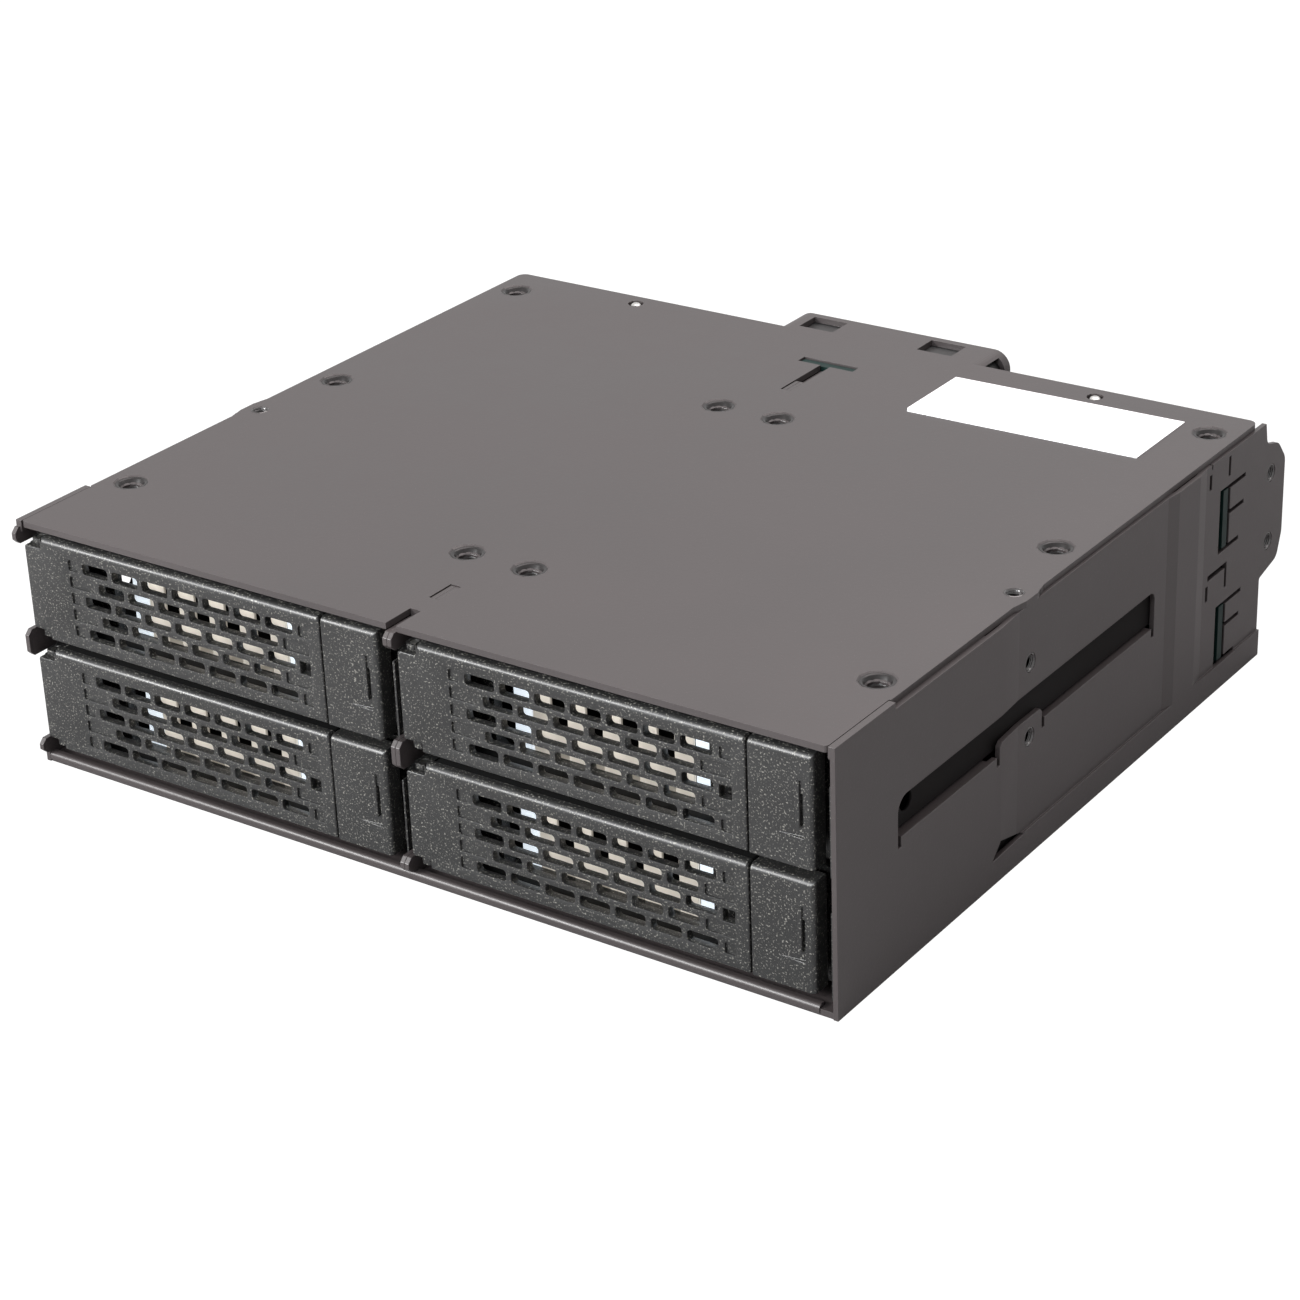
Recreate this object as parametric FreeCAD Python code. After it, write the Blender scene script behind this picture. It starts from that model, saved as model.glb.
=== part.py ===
import FreeCAD, Part
import math
import os

# Hot swap drive cage for one half-height 5.25 inch bay, with four drive trays, two wide and
# two high. Everything is laid out from the front plane of the tray doors (y = 0), with x = 0
# on the centre divider and z = 0 on the underside. The export step moves the origin under the
# middle of the cage. Lengths are millimetres.

os.makedirs("parts", exist_ok=True)
V = FreeCAD.Vector

# Cage envelope
cage_width = 146.0
cage_height = 41.3
ear_depth = 137.4
ear_behind_cover = 9.9
ear_low_z = 13.5
ear_reach = 7.8
ear_drop = 5.9
tab_reach = 1.2
wall_sheet = 0.8
cover_sheet = 1.0
flange_width = 8.7
recess_depth = 0.4
recess_ahead = 8.9
rib_ahead = 19.5
recess_slope = 5.5
recess_floor_z = 4.5
rib_crest = 7.0
rib_slope = 3.0

# Mounting holes of the 5.25 inch bay
bay_hole_radius = 1.5
bay_hole_pitch_y = 79.25
bay_hole_pitch_z = 11.84
bay_hole_back = 84.5
bay_hole_drop = 10.3
top_hole_inset = 3.15
top_hole_radius = 1.5
top_ear_half_length = 3.6
shoulder_width = 1.1
shoulder_depth = 15.2

# Window and ledges in the bay walls
window_front = 15.7
window_rear_gap = 3.6
window_height = 6.1
ledge_width = 5.6
hole_tab_ahead = 9.3
hole_tab_behind = 3.7
ledge_front_gap = 2.4
ledge_rear_gap = 1.0
hole_tab_rise = 1.9
relief_width = 0.8
relief_drop = 1.5

# Trays, stacked from the floor up
tray_foot = 1.6
tray_head_gap = 0.7
tray_floor_gap = 0.2
tray_side_gap = 0.15
tray_sheet = 0.4
floor_sheet = 0.5
tray_front = 6.2
tray_rear_gap = 3.0
tray_wall_front = 10.2
tray_wall_drop = 5.5
frame_front = 6.0
frame_depth = 1.8
frame_drop = 1.1
drive_rear_gap = 4.5
drive_hole_height = 3.0
drive_hole_insets = (9.7, 14.0)
drive_hole_radius = 1.6
floor_slot_half = 6.0
floor_slot_front = 34.0
floor_slot_rear_gap = 20.0
wall_slot_front = 36.0
wall_slot_rear_gap = 26.0
wall_slot_foot = 6.2
wall_slot_drop = 2.9

# Door and latch, from the tray's own centre line and floor
door_overhang = 0.25
door_foot = 1.4
door_gap = 1.7
door_skin = 1.4
door_wall = 1.1
door_depth = 5.5
door_corner = 1.0
split_gap = 0.3
finger_room = 2.15
latch_width = 10.15
latch_depth = 3.2
hinge_inset = 1.9
hinge_pin_radius = 0.75
pin_clearance = 0.05
knuckle_radius = 1.2
notch_width = 3.3
notch_top = 1.9
notch_foot = 1.4
door_clearance = 0.4

# Grille
grille_inset = 11.9
grille_columns = 7
grille_drop = 0.2
grille_margin = 3.55
cell_post = 0.93
cell_bar = 0.95
blind_depth = 0.35
blind_short = 1.8
blind_gap = 1.1
lamp_hole = 2.0
lamp_gap = 0.99

# Shield plate behind the grille
shield_sheet = 0.5
shield_bar = 3.2
shield_bars = 5
shield_inset = 7.15
shield_foot_depth = 5.0
shield_low_window = (1.5, 3.4)
shield_high_foot = 6.2
shield_high_drop = 2.4
shield_drop = 0.3
guide_width = 3.0
guide_gap = 0.3
guide_depth = 1.5

# Vent, lamp and latch details
vent_foot = 2.2
vent_drop = 1.3
vent_lamp_gap = 6.5
vent_inset = 12.1
lamp_inset = 3.25
lamp_drop = 0.55
lamp_radius = 0.8
lamp_front = 3.0
latch_travel = 1.5
stem_inset = 5.2
stem_half_width = 1.5
stem_half_height = 4.0
stem_end = 9.6
scoop_inset = 1.6
scoop_run = 4.4
scoop_depth = 0.55
scoop_low = 4.1
scoop_high = 2.5

# Rear
receptacle_reach = 5.5
receptacle_width = 37.7
receptacle_x = -4.0
receptacle_z = 4.6
receptacle_half_height = 2.8
data_port_width = 11.6
data_port_drop = 11.3
data_port_insets = (12.0, 28.0)
power_port_inset = 23.0
power_port_z = 12.0
power_port_width = 25.0
port_half_height = 3.0
port_gap = 0.2
port_reach = 2.0
left_port_shift = 2.0
board_back = 22.4
board_sheet = 1.6
board_slot_x = (16.0, 27.0, 38.0, 49.0)
board_slot_rise = 12.7
rear_panel_back = 15.0
fan_depth = 10.0
fan_x = 2.65
fan_foot = 0.2
fan_head_gap = 0.1
fan_tip_gap = 0.6
fan_blades = 7
blade_sheet = 0.9
blade_hollow = 0.8
fan_hole_radius = 1.75
fan_corner = 2.5
spider_sheet = 1.6
spider_half = 0.9
bearing_radius = 2.6
shaft_radius = 1.0
hood_sheet = 0.8
hood_back = 2.1
hood_drop = 12.0
hood_window_width = 6.6
hood_window_depth = 5.0
hood_window_gap = 1.4

# Slots in the side panels for the board's ears, from the floor and from the top
hook_foot = 4.4
hook_low_height = 10.4
hook_high_height = 10.8
hook_high_drop = 17.4
hook_margin = 0.5
tongue_reach = 6.0
tongue_slit = 0.7
tongue_rise = 5.7
bow_ahead = 4.8

# Fasteners in the top plate
cover_screw_inset = 5.5
cover_screw_front = 19.7
cover_screw_pitch = 49.9
cover_screw_back = 7.9
divider_screw_x = 5.65
divider_screw_front = 25.0
divider_screw_back = 23.5
screw_radius = 1.5
screw_head_radius = 2.9
screw_clearance = 0.1
screw_drop = 0.15
screw_length = 4.0
lip_half_length = 5.0
post_sides = 10
bracket_screw_inset = 28.0
bracket_screw_back = 3.1
bracket_hole_radius = 1.4
lip_end_inset = 3.0
lip_height = 1.6
lip_depth = 1.3
bead_inset = 6.35
bead_half = 1.5
board_tab_half = 5.1

# Worked out from the values above
half_width = cage_width / 2
cover_under = cage_height - cover_sheet
cover_depth = ear_depth - ear_behind_cover
board_front = ear_depth - board_back
board_rear = board_front + board_sheet
rear_panel_front = ear_depth - rear_panel_back
hood_rear = ear_depth - hood_back
tray_rear = board_front - tray_rear_gap
drive_rear = board_front - drive_rear_gap
floor_slot_rear = tray_rear - floor_slot_rear_gap
wall_slot_rear = tray_rear - wall_slot_rear_gap
bay_hole_front = ear_depth - bay_hole_back
recess_start = bay_hole_front - recess_ahead
rib_start = board_front - rib_ahead
window_rear = rib_start - window_rear_gap
hole_tab_front = bay_hole_front - hole_tab_ahead
hole_tab_rear = bay_hole_front + hole_tab_behind
ledge_front_end = hole_tab_front - ledge_front_gap
ledge_rear_start = hole_tab_rear + ledge_rear_gap
cover_screw_rows = (cover_screw_front, cover_screw_front + cover_screw_pitch,
                    cover_depth - cover_screw_back)
divider_screw_rows = (divider_screw_front, board_front - divider_screw_back)
drive_hole_rows = (tray_wall_front + drive_hole_insets[0], drive_rear - drive_hole_insets[1])
wall_inside = half_width - wall_sheet
recess_inside = wall_inside - recess_depth
bay_width = recess_inside - wall_sheet
bay_center_x = wall_sheet + bay_width / 2
tray_half = bay_width / 2 - tray_side_gap
tray_pitch_z = (cover_under - tray_foot - tray_head_gap) / 2
tray_z = (tray_foot, tray_foot + tray_pitch_z)
ledge_top = tray_z[1] - tray_floor_gap
tray_wall_height = tray_pitch_z - tray_wall_drop
frame_height = tray_pitch_z - frame_drop
door_height = tray_pitch_z - door_gap
door_top = door_foot + door_height
door_mid = door_foot + door_height / 2
door_left = -tray_half - door_overhang
latch_right = tray_half - finger_room
latch_left = latch_right - latch_width
door_right = latch_left - split_gap
hinge_x = door_left + hinge_inset
lamp_x = door_right - lamp_inset
lamp_z = door_mid - lamp_drop
grille_left = door_left + grille_inset
cell_pitch = (lamp_x - grille_left - lamp_gap) / grille_columns
cell_width = cell_pitch - cell_post
row_pitch = (door_height - grille_margin) / 5
cell_height = row_pitch - cell_bar
vent_left = door_left + vent_inset
vent_right = lamp_x - vent_lamp_gap
shield_first_bar = grille_left + shield_inset
latch_stem_x = latch_right - stem_inset
scoop_x = latch_right - scoop_inset
wall_cut_back = hinge_inset + 2.5
divider_tab_spans = ((10.0, 14.8), (board_front - 12.3, board_front - 8.0))
mid_y = (ear_depth - tab_reach) / 2
fan_front = rear_panel_front + wall_sheet
fan_size = cover_under - fan_foot - fan_head_gap
fan_z = fan_foot + fan_size / 2
fan_bore_radius = fan_size * 0.475
fan_hub_radius = fan_size * 0.2625
fan_hole_pitch = fan_size * 0.8
data_port_z = cage_height - data_port_drop
data_port_x = [half_width - inset for inset in data_port_insets]
data_port_x += [inset - half_width for inset in data_port_insets]
data_port_x[-1] += left_port_shift
power_port_x = (power_port_inset + left_port_shift - half_width, half_width - power_port_inset)
hook_high_foot = cage_height - hook_high_drop
hook_spans = ((hook_foot, hook_foot + hook_low_height),
              (hook_high_foot, hook_high_foot + hook_high_height))
hole_rows = (cage_height - bay_hole_drop - bay_hole_pitch_z, cage_height - bay_hole_drop)
hole_columns = (bay_hole_front, bay_hole_front + bay_hole_pitch_y)
cover_screw_x = half_width - cover_screw_inset
bracket_screw_x = half_width - bracket_screw_inset
bracket_screw_y = cover_depth - bracket_screw_back


def box(x0, x1, y0, y1, z0, z1):
    return Part.makeBox(x1 - x0, y1 - y0, z1 - z0, V(x0, y0, z0))


def cylinder(x, y, z, radius, length, axis):
    return Part.makeCylinder(radius, length, V(x, y, z), axis)


def polygon_post(x, y, z, radius, length, axis, end_radius=None):
    """A many-sided post or cone along the axis, for small screws and their holes."""
    rings = []
    for along, ring_radius in ((0, radius), (length, end_radius or radius)):
        turns = [2 * math.pi * i / post_sides for i in range(post_sides)]
        rings.append([V(ring_radius * math.cos(turn), ring_radius * math.sin(turn), along)
                      for turn in turns])
    start, end = rings
    faces = [flat_face(start), flat_face(end)]
    for i in range(post_sides):
        j = (i + 1) % post_sides
        faces.append(flat_face([start[i], start[j], end[j], end[i]]))
    post = Part.Solid(Part.Shell(faces))
    post.Placement = FreeCAD.Placement(V(x, y, z), FreeCAD.Rotation(V(0, 0, 1), axis))
    return post


def flat_face(corners):
    return Part.Face(Part.makePolygon(corners + corners[:1]))


def rounded_face(points, radii):
    """A flat face with the given corners. A radius rounds its corner, or below 0 cuts it off."""
    starts = []
    ends = []
    middles = []
    count = len(points)
    for i in range(count):
        corner = points[i]
        back = (points[i - 1] - corner).normalize()
        ahead = (points[(i + 1) % count] - corner).normalize()
        radius = radii[i]
        half_turn = back.getAngle(ahead) / 2
        run = radius / math.tan(half_turn) if radius > 0 else -radius
        inward = back + ahead
        if radius > 0:
            inward.normalize()
        starts.append(corner + back * run)
        ends.append(corner + ahead * run)
        middles.append(corner + inward * (radius / math.sin(half_turn) - radius))
    edges = []
    for i in range(count):
        if radii[i] > 0:
            edges.append(Part.Arc(starts[i], middles[i], ends[i]).toShape())
        if radii[i] < 0:
            edges.append(Part.LineSegment(starts[i], ends[i]).toShape())
        following = starts[(i + 1) % count]
        if (following - ends[i]).Length > 1e-6:
            edges.append(Part.LineSegment(ends[i], following).toShape())
    return Part.Face(Part.Wire(edges))


def corner_radii(points, radius):
    if isinstance(radius, (int, float)):
        return [radius] * len(points)
    return radius


def prism_x(points, x0, x1, radius=0):
    """An outline in y and z, carried from x0 to x1."""
    corners = [V(x0, y, z) for y, z in points]
    return rounded_face(corners, corner_radii(points, radius)).extrude(V(x1 - x0, 0, 0))


def prism_y(points, y0, y1, radius=0):
    """An outline in x and z, carried from y0 to y1."""
    corners = [V(x, y0, z) for x, z in points]
    return rounded_face(corners, corner_radii(points, radius)).extrude(V(0, y1 - y0, 0))


def prism_z(points, z0, z1, radius=0):
    """An outline in x and y, carried from z0 to z1."""
    corners = [V(x, y, z0) for x, y in points]
    return rounded_face(corners, corner_radii(points, radius)).extrude(V(0, 0, z1 - z0))


def rectangle(a0, a1, b0, b1):
    return [(a0, b0), (a1, b0), (a1, b1), (a0, b1)]


def joined(shapes):
    whole = shapes[0]
    if len(shapes) > 1:
        whole = whole.fuse(shapes[1:])
    return whole.removeSplitter()


def without(shape, cutters):
    return shape.cut(cutters) if cutters else shape


def mirrored(shape):
    return shape.mirror(V(0, 0, 0), V(1, 0, 0))


def shifted(shape, x, y, z):
    moved = shape.copy()
    moved.translate(V(x, y, z))
    return moved


def export(name, shape):
    """Moves a piece under the cage's own origin and writes it."""
    shifted(shape, 0, -mid_y, 0).exportStep("parts/" + name + ".step")


# Bay walls: the two side panels and the two divider sheets share the window and its ledges

def window_cutter(x0, x1):
    """The long window, its raised edge round the lower screw hole, and the bend reliefs."""
    foot = ledge_top
    head = ledge_top + window_height
    raised = ledge_top + hole_tab_rise
    outline = [(window_front, foot), (hole_tab_front, foot), (hole_tab_front, raised),
               (hole_tab_rear, raised), (hole_tab_rear, foot), (window_rear, foot),
               (window_rear, head), (window_front, head)]
    cutters = [prism_x(outline, x0, x1, [0, 0, -0.6, -0.6, 0, 0, 1.5, 2.4])]
    relief_starts = (window_front, hole_tab_front - relief_width, hole_tab_rear,
                     window_rear - relief_width)
    for start in relief_starts:
        cutters.append(box(x0, x1, start, start + relief_width, foot - relief_drop, foot + 0.1))
    return cutters


def ledges(face, direction):
    """Two shelves bent out of the window, on which an upper tray slides."""
    spans = ((window_front + relief_width, ledge_front_end), (ledge_rear_start,
             window_rear - relief_width))
    shelves = []
    for start, end in spans:
        near = face - direction * wall_sheet / 2
        far = face + direction * ledge_width
        outline = rectangle(min(near, far), max(near, far), start, end)
        tip = [0, -1.5, -1.5, 0] if direction > 0 else [-1.5, 0, 0, -1.5]
        shelves.append(prism_z(outline, ledge_top - wall_sheet, ledge_top, tip))
    return shelves


def top_flanges(face, direction, spans, width):
    """Lips bent over under the top plate, which take its screws."""
    lips = []
    for start, end in spans:
        near = face - direction * wall_sheet / 2
        far = face + direction * width
        outline = rectangle(min(near, far), max(near, far), start, end)
        tip = [0, -1.5, -1.5, 0] if direction > 0 else [-1.5, 0, 0, -1.5]
        lips.append(prism_z(outline, cover_under - wall_sheet, cover_under, tip))
    return lips


def front_tabs(x0, x1):
    """Three noses of the wall that pass between the doors' notched corners."""
    middle = (tray_z[0] + door_top - notch_top + 0.3, tray_z[1] + door_foot + notch_foot - 0.3)
    spans = ((lip_height + 0.1, tray_z[0] + door_foot + notch_foot - 0.2), middle,
             (tray_z[1] + door_top - notch_top + 0.2, cover_under))
    tabs = []
    for low, high in spans:
        outline = rectangle(-tab_reach, wall_cut_back + 1, low, high)
        tabs.append(prism_x(outline, x0, x1, [-0.8, 0, 0, -0.8]))
    return tabs


def side_outline():
    """The side of the cage: a plain plate with a tall rounded ear at the rear."""
    root = ear_depth - ear_reach
    high = cage_height - ear_drop
    ear = [(root, 0), (root, ear_low_z), (ear_depth - 1.5, ear_low_z + 1.4),
           (ear_depth, ear_low_z + 5.5), (ear_depth, high - 3.4), (ear_depth - 2.8, high),
           (root + 0.7, high + 1.2), (root, cover_under)]
    return [(0, 0)] + ear + [(0, cover_under)], [0, 0, 0.5, 2.0, 2.5, 2.5, 2.5, 1.5, 0, 0]


def side_section():
    """The side seen from above: flat, stepped in behind the front, with one standing rib."""
    crest = rib_start + rib_slope
    outer = [(0, 0), (recess_start, 0), (recess_start + recess_slope, recess_depth),
             (rib_start, recess_depth), (crest, 0), (crest + rib_crest, 0),
             (crest + rib_crest + rib_slope, recess_depth), (ear_depth, recess_depth)]
    outside = [(half_width - inward, y) for y, inward in outer]
    inside = [(x - wall_sheet, y) for x, y in reversed(outside)]
    return outside + inside


def hook_cutters(x0, x1):
    """The slots that the backplane's ears sit in, each with a sprung tongue behind it."""
    cutters = []
    for foot, head in hook_spans:
        cutters.append(box(x0, x1, board_front - 1.4, board_rear + 0.6, foot, head))
        cutters.append(box(x0, x1, board_rear, board_rear + tongue_reach, head - tongue_slit,
                           head))
        cutters.append(box(x0, x1, board_rear, board_rear + tongue_reach - 1.8, foot,
                           foot + tongue_slit))
        middle = foot + tongue_rise
        cutters.append(box(x0, x1, board_rear, board_rear + tongue_reach - 0.4, middle,
                           middle + tongue_slit))
    front = board_front - bow_ahead
    rear = board_rear + 0.4
    for foot, head in ((hook_high_foot - 6.7, hook_high_foot - 2.4),
                       (cover_under - 4.1, cover_under + 0.1)):
        cutters.append(box(x0, x1, front, rear, head - 0.9, head))
        cutters.append(box(x0, x1, front - 0.6, front + 0.2, foot, head - 1.7))
        cutters.append(box(x0, x1, rear - tongue_slit, rear, foot, head))
    return cutters


def side_panel(has_tabs):
    """The right-hand panel. The left one is its mirror image, with noses at the front."""
    x0 = recess_inside - 0.1
    x1 = half_width + 1
    outline, radii = side_outline()
    slab = prism_x(outline, x0, x1, radii)
    formed = prism_z(side_section(), recess_floor_z, cover_under)
    strip = box(wall_inside, half_width, 0, ear_depth, 0, recess_floor_z)
    cutters = window_cutter(x0, x1) + hook_cutters(x0, x1)
    start = recess_start
    cutters.append(prism_x([(start - 2.2, 4.0), (start + 7.4, 4.3), (start + 0.2, 6.4)], x0, x1))
    for y in hole_columns:
        for z in hole_rows:
            cutters.append(cylinder(x0, y, z, bay_hole_radius, 2, V(1, 0, 0)))
    if has_tabs:
        for tray in tray_z:
            low = tray + door_foot - door_clearance
            high = tray + door_top + door_clearance
            cutters.append(box(x0, x1, -1, wall_cut_back, low, high))
    wall = without(joined([formed, strip]).common(slab), cutters)
    shoulder = box(half_width - shoulder_width, half_width, 0, shoulder_depth,
                   cover_under - wall_sheet, cage_height)
    spans = ((shoulder_depth + 1, bay_hole_front - 12.5), (bay_hole_front + 1.5, rib_start - 0.9),
             (board_front - 4.4, rear_panel_front - 0.5))
    lips = top_flanges(wall_inside, -1, spans, flange_width)
    holes = [polygon_post(cover_screw_x, y, cover_under - 2, screw_radius + screw_clearance, 4,
             V(0, 0, 1)) for y in cover_screw_rows]
    pieces = [wall, shoulder] + ledges(recess_inside + wall_sheet / 2, -1)
    pieces += [without(lip, holes) for lip in lips]
    if has_tabs:
        pieces += front_tabs(wall_inside, half_width)
    return joined(pieces)


def divider_sheet():
    """The right-hand half of the double divider. The left half is its mirror image."""
    x1 = wall_sheet
    wall = box(0, x1, lip_depth + 0.2, board_front - 0.3, cover_sheet, cover_under)
    cutters = window_cutter(-1, x1 + 1)
    for tray in tray_z:
        low = tray + door_foot - door_clearance
        high = tray + door_top + door_clearance
        cutters.append(box(-1, x1 + 1, 0, wall_cut_back, low, high))
    wall = without(wall, cutters)
    spans = [(y - lip_half_length, y + lip_half_length) for y in divider_screw_rows]
    lips = top_flanges(x1, 1, spans, flange_width)
    holes = [polygon_post(divider_screw_x, y, cover_under - 2, screw_radius + screw_clearance, 4,
             V(0, 0, 1)) for y in divider_screw_rows]
    pieces = [wall] + [without(lip, holes) for lip in lips] + ledges(x1, 1)
    pieces += front_tabs(0, x1)
    for start, end in divider_tab_spans:
        pieces.append(box(0, x1, start, end, cover_under - 0.5, cage_height - 0.1))
    return joined(pieces)


# Top and bottom plates

def countersinks(x, rows):
    """Tapered seats for flat-headed screws, mirrored left and right."""
    cutters = []
    for side in (-1, 1):
        for y in rows:
            cutters.append(polygon_post(side * x, y, cover_under, screw_radius + screw_clearance,
                                        cover_sheet, V(0, 0, 1), screw_head_radius))
    return cutters


def top_plate():
    edge = wall_inside - 0.1
    notch = half_width - shoulder_width - 0.1
    ear = half_width - 0.3
    ear_y = bay_hole_front
    half = top_ear_half_length
    right = [(notch, 0), (notch, shoulder_depth + 0.3), (edge, shoulder_depth + 0.3),
             (edge, ear_y - half), (ear, ear_y - half + 1.2), (ear, ear_y + half - 1.2),
             (edge, ear_y + half), (edge, cover_depth)]
    left = [(-x, y) for x, y in reversed(right)]
    radii = [0.6, 0, 0, -0.8, -0.8, -0.8, -0.8, 1.5]
    plate = prism_z(right + left, cover_under, cage_height, radii + list(reversed(radii)))
    pieces = [plate, fan_hood()]
    cutters = countersinks(cover_screw_x, cover_screw_rows)
    cutters += countersinks(divider_screw_x, divider_screw_rows)
    for side in (-1, 1):
        x = side * (half_width - top_hole_inset)
        cutters.append(cylinder(x, ear_y, cover_under - 1, top_hole_radius, 3, V(0, 0, 1)))
        cutters.append(polygon_post(side * bracket_screw_x, bracket_screw_y, cover_under - 1,
                                    bracket_hole_radius, 3, V(0, 0, 1)))
    slit = wall_sheet + 0.15
    z0 = cover_under - 1
    z1 = cage_height + 1
    cutters.append(box(-slit, slit, -1, wall_cut_back + 1.2, z0, z1))
    for start, end in divider_tab_spans:
        cutters.append(box(-slit, slit, start - 0.15, end + 0.15, z0, z1))
    cutters.append(box(-slit, slit, divider_tab_spans[-1][1], board_front, z0, z1))
    cutters.append(box(-board_tab_half - 0.2, board_tab_half + 0.2, board_front - 0.2,
                       board_rear + 0.2, z0, z1))
    return without(joined(pieces), cutters)


def fan_hood():
    """The rear tongue of the top plate, bent down on both sides of the fan."""
    half = fan_size / 2 + 0.1 + hood_sheet
    start = cover_depth - 3
    outer = prism_y(rectangle(fan_x - half, fan_x + half, cage_height - hood_drop, cage_height),
                    start, hood_rear, [0, 0, 3, 3])
    inner_half = half - hood_sheet
    inner = prism_y(rectangle(fan_x - inner_half, fan_x + inner_half,
                    cage_height - hood_drop - 1, cover_under), start - 1, hood_rear + 1,
                    [0, 0, 2.2, 2.2])
    hood = outer.cut(inner)
    front = box(fan_x - half - 1, fan_x + half + 1, start - 1, cover_depth, 0, cover_under)
    window_front = cover_depth + hood_window_gap
    window_rear = window_front + hood_window_depth
    windows = [box(fan_x + x, fan_x + x + hood_window_width, window_front, window_rear,
                   cover_under - 1, cage_height + 1)
               for x in (-hood_window_width - 10, hood_window_width)]
    corner = box(fan_x + half - 3.6, fan_x + half + 1, window_front, window_rear - 0.5,
                 cage_height - 4.5, cage_height - 0.6)
    return without(hood, [front, corner] + windows)


def bottom_plate():
    """The floor of the cage, with a hemmed front lip and low beads that carry the lower trays."""
    edge = wall_inside
    plate = box(-edge, edge, 0.2, cover_depth, 0, cover_sheet)
    lip = prism_x([(0, 0), (lip_depth, 0), (lip_depth, lip_height), (0, lip_height)], -edge,
                  half_width - lip_end_inset, [0.6, 0, 0, 0.7])
    pieces = [plate, lip]
    for side in (-1, 1):
        for offset in (bead_inset - tray_half, tray_half - bead_inset):
            x = side * bay_center_x + offset
            bead = prism_z(rectangle(x - bead_half, x + bead_half, 8, tray_rear), cover_sheet - 0.2,
                           tray_z[0] - tray_floor_gap, -1)
            pieces.append(bead)
    half = fan_size / 2 + 0.4
    cutters = [box(fan_x - half, fan_x + half, rear_panel_front - 0.2, cover_depth + 1, -1, 2)]
    return without(joined(pieces), cutters)


def flat_screw(x, y):
    """A flat-headed screw, seated just under the top face."""
    head = polygon_post(x, y, cover_under, screw_radius, cover_sheet - screw_drop, V(0, 0, 1),
                        screw_head_radius - 0.25)
    shank = polygon_post(x, y, cover_under - screw_length, screw_radius, screw_length,
                         V(0, 0, 1))
    return head.fuse(shank).removeSplitter()


# One tray, in its own frame: x from its centre line, z from its floor

def drive_pan():
    """The folded metal pan that a 2.5 inch drive is screwed into."""
    half = tray_half
    floor = box(-half, half, tray_front, tray_rear, 0, floor_sheet)
    slots = []
    pitch = (2 * tray_half - 6 * floor_slot_half) / 4 + 2 * floor_slot_half
    for x in (-pitch, 0, pitch):
        slots.append(prism_z(rectangle(x - floor_slot_half, x + floor_slot_half,
                                       floor_slot_front, floor_slot_rear), -1, 2, -3))
    pieces = [without(floor, slots)]
    outline = [(tray_wall_front, 0), (tray_rear, 0), (tray_rear, tray_wall_height - 5),
               (tray_rear - 6, tray_wall_height), (tray_wall_front, tray_wall_height)]
    side_cuts = [prism_x(rectangle(wall_slot_front, wall_slot_rear, wall_slot_foot,
                                   tray_wall_height - wall_slot_drop), -half - 1, half + 1, -1)]
    for y in drive_hole_rows:
        side_cuts.append(polygon_post(-half - 1, y, floor_sheet + drive_hole_height,
                                      drive_hole_radius, 2 * half + 2, V(1, 0, 0)))
    for side in (-1, 1):
        x0 = min(side * half, side * (half - tray_sheet))
        wall = prism_x(outline, x0, x0 + tray_sheet, [0, 0, 0, 0, -1])
        pieces.append(without(wall, side_cuts))
    return joined(pieces)


def front_frame():
    """The moulded front of the tray, with the door's knuckles, the vent and the latch's guide."""
    half = tray_half
    y0 = frame_front
    y1 = frame_front + frame_depth
    plate = prism_y(rectangle(-half, half, floor_sheet, frame_height), y0, y1, [0, 0, -0.8, -0.8])
    vent = prism_y(rectangle(vent_left, vent_right, vent_foot, frame_height - vent_drop),
                   y0 - 1, y1 + 1, -0.8)
    side_room = stem_half_width + 0.2
    end_room = stem_half_height + 0.2
    guide = box(latch_stem_x - side_room, latch_stem_x + side_room + latch_travel, y0 - 1, y1 + 1,
                door_mid - end_room, door_mid + end_room)
    lamp = polygon_post(lamp_x, y0 - 1, lamp_z, lamp_radius + pin_clearance, 4, V(0, 1, 0))
    pieces = [without(plate, [vent, guide, lamp])]
    arm_back = y0 + 0.5
    for low, high in ((door_foot + 0.05, door_foot + notch_foot - 0.2),
                      (door_top - notch_top + 0.2, frame_height)):
        outline = [(hinge_x - knuckle_radius, hinge_inset - knuckle_radius),
                   (hinge_x + knuckle_radius, hinge_inset - knuckle_radius),
                   (hinge_x + knuckle_radius, arm_back), (hinge_x - knuckle_radius, arm_back)]
        knuckle = prism_z(outline, low, high, [-0.6, -0.6, 0, 0])
        bore = cylinder(hinge_x, hinge_inset, low - 1, hinge_pin_radius, 6, V(0, 0, 1))
        pieces.append(knuckle.cut(bore))
    pieces.append(finger_pocket())
    pieces += [box(side * half - max(side, 0) * 1.2, side * half - min(side, 0) * 1.2, y1 - 0.3,
               tray_wall_front, floor_sheet, tray_wall_height) for side in (-1, 1)]
    return joined(pieces)


def finger_pocket():
    """The curved wall beside the latch, open to the front for a fingertip."""
    half = tray_half
    wall = 0.35
    outer = [(half - 4.0, frame_front + 0.1), (half, frame_front + 0.1), (half, 1.2),
             (half - wall, 1.2), (half - wall, frame_front - 0.6), (half - 4.0, frame_front - 0.6)]
    return prism_z(outer, floor_sheet, tray_wall_height + 0.6, [0, 0, 0, 0, 2.4, 0])


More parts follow.
